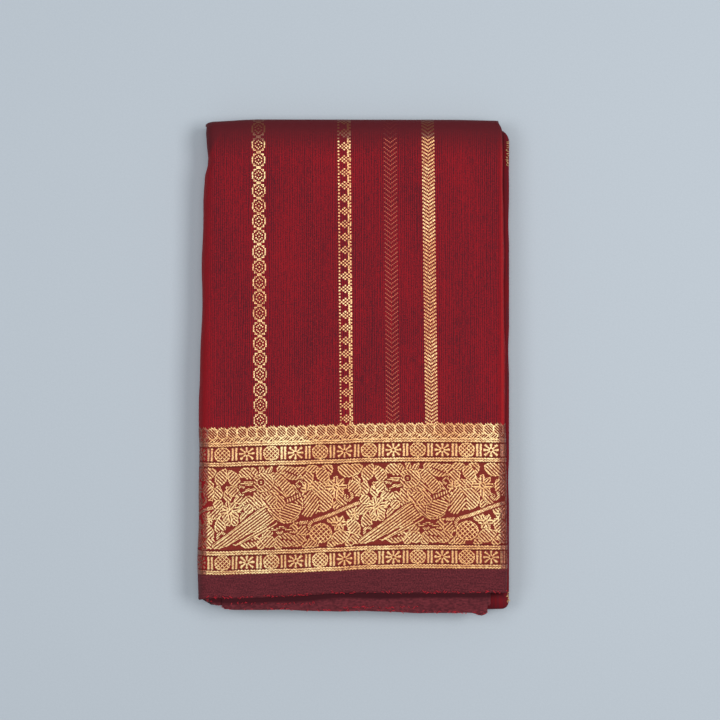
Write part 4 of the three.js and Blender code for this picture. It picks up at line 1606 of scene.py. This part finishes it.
GOLD = thread_material("gold_thread", (1.00, 0.81, 0.40, 1.0), (0.91, 0.46, 0.16, 1.0),
                       (0.20, 0.040, 0.016, 1.0), 0.28, 0.34, 0.50)
ROSE = thread_material("rose_thread", (0.60, 0.160, 0.090, 1.0), (0.48, 0.110, 0.065, 1.0),
                       (0.24, 0.030, 0.026, 1.0), 0.05, 0.50, 0.10, shade_past_fold=(0.130, 0.018, 0.019, 1.0))
RED = thread_material("red_thread", (0.26, 0.018, 0.020, 1.0), (0.24, 0.016, 0.019, 1.0),
                      (0.18, 0.010, 0.016, 1.0), 0.0, 0.60, 0.05, shade_past_fold=SHOULDER_SHADE)

# %% The border, laid on the cover
across_low, across_high = flat_place[..., 0].min(), flat_place[..., 0].max()
FIRST_CIRCLE = -82.0


def along_border(drawing, name, first, pitch):
    """Repeats a drawing at its pitch over the cover's whole width, in step with one at first."""
    before = math.ceil((first - across_low) / pitch) + 1
    count = before + math.ceil((across_high - first) / pitch) + 2
    start = ((first - before * pitch) * MM, 0.0, 0.0)
    return laid(drawing, name, start, (pitch * MM, 0.0, 0.0), count, GOLD)


birds = along_border(band_repeat(), "zari_birds", FIRST_CIRCLE - 6.0, PERIOD)
finish_piece(birds, "zari_cloth")
ropes = joined([along_border(rope_repeat(*row), "rope", 0.0, ROPE_PITCH) for row in ROPES], "zari_ropes")
finish_piece(ropes, "zari_cloth")
cells = joined([along_border(cell_repeat(*row), "cells", FIRST_CIRCLE, 2 * CELL) for row in CELL_ROWS],
               "zari_flower_rows")
finish_piece(cells, "zari_cloth")
rings = along_border(ring_repeat(*RING_ROW), "zari_end_rope", FIRST_CIRCLE, RING_PITCH)
finish_piece(rings, "zari_cloth")

# %% The stripes, laid on the cover
# name, chart, width, height of a row, thread, drift to the left for each mm up, where each stripe runs
STRIPES = [
    ("stripe_rosettes", ROSETTES, 8.5, 0.87, GOLD, 0.0073, (-58.2, -189.0)),
    ("stripe_steps", STEPS, 8.3, 1.02, GOLD, 0.0083, (-4.4, -146.0, -276.0)),
    ("stripe_faint", FAINT, 5.0, 0.90, RED, 0.0050, (-25.0, -206.0)),
    ("stripe_rose", ROSE_CHEVRONS, 8.3, 0.72, ROSE, 0.0088, (24.5, -232.0)),
    ("stripe_chevrons", CHEVRONS, 7.9, 0.57, GOLD, 0.0126, (48.8, -254.0)),
]
STRIPE_END = float(flat_place[..., 1].max())
for name, chart, width, row_height, thread, drift, places in STRIPES:
    drawing, repeat = chart_repeat(chart, width, row_height)
    count = math.ceil((STRIPE_END - BORDER_TOP) / repeat) + 1
    pitch = (-drift * repeat * MM, repeat * MM, 0.0)
    first_row = (BORDER_TOP + repeat) * MM
    runs = [laid(drawing, name, (x * MM, first_row, 0.0), pitch, count, thread) for x in places]
    finish_piece(joined(runs, name), "zari_cloth")

# %% [markdown]
# ## Loose ends along the edges
#
# Where a selvedge turns, red weft threads stand out as short bright ends, in uneven clumps. A second
# Geometry Nodes tree sets them along an edge: it resamples the edge, drops some of the points, and
# stands a thin rod on each that is left, turned and stretched at random from a fixed seed.

# %% The tree that sets thread ends along an edge
# Least and most of what is drawn for each end: its slide, in its own lengths, its turn and its size
SLIDE = ((-1.0, -0.35, -0.1), (1.0, 0.9, 0.25))
TURN = ((-0.35, 1.15, -0.9), (0.35, 1.95, 0.9))
SIZE = ((0.7, 0.7, 0.5), (1.2, 1.2, 2.2))


def thread_ends_tree():
    g = Grower("thread_ends", Count="Int", Seed="Int", Dropped="Float", Radius="Float", Length="Float",
               Thread="Material")

    def chance(offset, kind, inputs):
        """A random value for each point, from a seed of its own."""
        seed = g.node("ShaderNodeMath", {0: g.given["Seed"], 1: offset})
        made = g.node("FunctionNodeRandomValue", {8: seed.outputs[0], **inputs}, data_type=kind)
        return next(value for value in made.outputs if value.enabled)

    def drawn(offset, between):
        return chance(offset, "FLOAT_VECTOR", {0: between[0], 1: between[1]})

    line = g.node("GeometryNodeMeshToCurve", {"Mesh": g.given["Geometry"]})
    spaced = g.node("GeometryNodeResampleCurve", {"Curve": line.outputs[0], "Count": g.given["Count"]})
    slide = g.node("ShaderNodeVectorMath", {0: drawn(1, SLIDE), "Scale": g.given["Length"]},
                   operation="SCALE")
    points = g.node("GeometryNodeCurveToPoints", {"Curve": spaced.outputs[0]}, mode="EVALUATED")
    dropped = chance(2, "BOOLEAN", {6: g.given["Dropped"]})
    kept = g.node("GeometryNodeDeleteGeometry", {"Geometry": points.outputs[0], "Selection": dropped})
    moved = g.node("GeometryNodeSetPosition", {"Geometry": kept.outputs[0], "Offset": slide.outputs[0]})
    rod = g.node("GeometryNodeMeshCylinder", {"Vertices": 5, "Radius": g.given["Radius"],
                                              "Depth": g.given["Length"]})
    copies = g.node("GeometryNodeInstanceOnPoints", {"Points": moved.outputs[0], "Instance": rod.outputs[0],
                                                     "Rotation": drawn(3, TURN), "Scale": drawn(4, SIZE)})
    real = g.node("GeometryNodeRealizeInstances", {"Geometry": copies.outputs[0]})
    return g.ends_in(real.outputs[0], g.given["Thread"])


THREAD_ENDS = thread_ends_tree()


def thread_ends(name, path, count, seed, dropped, radius, length, material):
    """Short thread ends along a path in drawing millimetres."""
    mesh = bpy.data.meshes.new(name)
    mesh.from_pydata([tuple(p) for p in placed(path)], [(i, i + 1) for i in range(len(path) - 1)], [])
    piece = bpy.data.objects.new(name, mesh)
    bpy.context.scene.collection.objects.link(piece)
    values = {"Count": count, "Seed": seed, "Dropped": dropped, "Radius": radius * MM,
              "Length": length * MM, "Thread": material}
    return grow(piece, THREAD_ENDS, values)


# %% Red ends along the free edges, gold ends at the right
def bright_thread(name, colour):
    """A loose end, with painted shade in patches where its twist turns away."""
    shader = Shader(name)
    noise = shader.noise(shader.place()[0], 900.0, 1.0)
    twist_shade = tuple(0.45 * c for c in colour[:3]) + (1.0,)
    return shader.finish(shader.blend(noise, twist_shade, colour), Roughness=0.5, Specular_IOR_Level=0.3)


def level_row(left, right, count, y, z):
    """Points in a straight row along X."""
    return np.array([(x, y, z) for x in np.linspace(left, right, count)])


END_RED = bright_thread("red_thread_ends", (0.78, 0.010, 0.032, 1.0))
END_GOLD = bright_thread("gold_thread_ends", (1.00, 0.62, 0.28, 1.0))
free_edge = grid[0][(grid[0][:, 2] > HEIGHT - 3.0)]
free_edge = free_edge + (0.0, 0.35, 0.10)
second_edge = level_row(-80, 83, 60, SECOND_FREE + 0.2, 20.4)
second_edge[:, 1] += eased(SECOND_NEAR, second_edge[:, 0])
tuck_row = level_row(-78, -24, 12, -148.4, 20.7)
inner_row = level_row(-6, 40, 10, -150.9, 20.75)
corner_edge = np.array([
    (-92.0, -145.5, 20.6), (-88.0, -148.6, 19.0), (-84.0, -150.0, 18.8), (-80.0, -151.6, 20.0),
])
ends = joined([
    thread_ends("ends_cover", free_edge, 230, 3, 0.62, 0.19, 1.15, END_RED),
    thread_ends("ends_second", second_edge, 150, 8, 0.55, 0.18, 1.1, END_RED),
    thread_ends("ends_corner", corner_edge, 16, 5, 0.4, 0.17, 0.9, END_RED),
    thread_ends("ends_tuck", tuck_row, 60, 12, 0.62, 0.16, 1.0, END_RED),
    thread_ends("ends_inner", inner_row, 44, 14, 0.50, 0.16, 1.1, END_RED),
], "red_thread_ends")
finish_piece(ends, "edge_cloth")
far_corner = np.array([(97.2, y, 12.9) for y in np.linspace(127, 142, 6)])
near_corner = np.array([(97.4, y, 12.9) for y in np.linspace(-149, -143, 5)])
gold_ends = joined([
    thread_ends("ends_far", far_corner, 34, 2, 0.35, 0.20, 0.8, END_GOLD),
    thread_ends("ends_near", near_corner, 16, 6, 0.30, 0.20, 0.8, END_GOLD),
], "gold_thread_ends")
finish_piece(gold_ends, "zari_cloth")

# %% [markdown]
# The cover was a bare sheet until now, because a drawing finds its place on one layer of cloth only.
# With the threads laid, the sheet gets its thickness, inwards, so that the threads stay on top.

# %% The cover's shell
shell = cover.modifiers.new("shell", "SOLIDIFY")
shell.thickness = SHELL * MM
shell.offset = -1.0
print("the cover is", SHELL, "mm thick")

# %% [markdown]
# ## Floor, light and camera
#
# The photograph looks straight down from about a metre. The light is soft: a strong broad lamp stands
# at the right, a weaker one at the left and a third overhead, so the deeper shadow falls to the left.
# The floor is plain pale blue-grey.

# %% Floor, light and camera
FLOOR_DARK = (0.45, 0.505, 0.555, 1.0)
FLOOR_LIGHT = (0.50, 0.555, 0.605, 1.0)
floor_shader = Shader("pale_floor")
floor_grain = floor_shader.noise(floor_shader.place()[0], 900.0, 2.0)
floor_colour = floor_shader.blend(floor_grain, FLOOR_DARK, FLOOR_LIGHT)
bpy.ops.mesh.primitive_plane_add(size=8.0)
floor = bpy.context.object
floor.name = "floor"
floor.data.materials.append(floor_shader.finish(floor_colour, Roughness=0.9))


def area_light(name, place, size, power, colour):
    """A broad lamp that faces the middle of the floor."""
    light = bpy.data.lights.new(name, "AREA")
    light.shape = "RECTANGLE"
    light.size, light.size_y = size
    light.energy = power
    light.color = colour
    lamp = bpy.data.objects.new(name, light)
    lamp.location = place
    lamp.rotation_euler = (-mathutils.Vector(place)).to_track_quat("-Z", "Y").to_euler()
    bpy.context.scene.collection.objects.link(lamp)


area_light("key_right", (1.00, 0.12, 1.35), (0.9, 0.6), 14.5, (1.0, 0.98, 0.97))
area_light("key_left", (-0.90, 0.12, 1.35), (0.9, 0.6), 7.0, (0.98, 0.98, 1.0))
area_light("fill", (0.0, 0.16, 1.60), (0.8, 0.6), 5.8, (1.0, 0.99, 0.98))

world = bpy.data.worlds.new("studio")
world.use_nodes = True
world.node_tree.nodes["Background"].inputs[0].default_value = (0.80, 0.86, 0.92, 1.0)
world.node_tree.nodes["Background"].inputs[1].default_value = 0.31
bpy.context.scene.world = world

bpy.context.scene.view_settings.view_transform = "Standard"
# The photo's side and where the drawing's origin lies on it, in pixels, and a pixel in millimetres.
# TOP_SCALE was fitted by laying a render over the photo: the cover's top shows at PX times this.
FRAME_PX = 720
CENTRE_PX = (353.5, 366.75)
PX = 0.63
TOP_SCALE = 0.993
LENS = 85.0
SENSOR = 36.0
camera_data = bpy.data.cameras.new("camera")
camera_data.lens = LENS
camera_data.sensor_width = SENSOR
camera = bpy.data.objects.new("camera", camera_data)
distance = LENS / SENSOR * FRAME_PX * PX * TOP_SCALE
camera.location = (
    ((FRAME_PX / 2 - CENTRE_PX[0]) * PX + SHIFT_X) * MM,
    ((CENTRE_PX[1] - FRAME_PX / 2) * PX + SHIFT_Y) * MM,
    (distance + HEIGHT) * MM,
)
bpy.context.scene.collection.objects.link(camera)
bpy.context.scene.camera = camera
print("camera is", round(distance), "mm above the cloth")
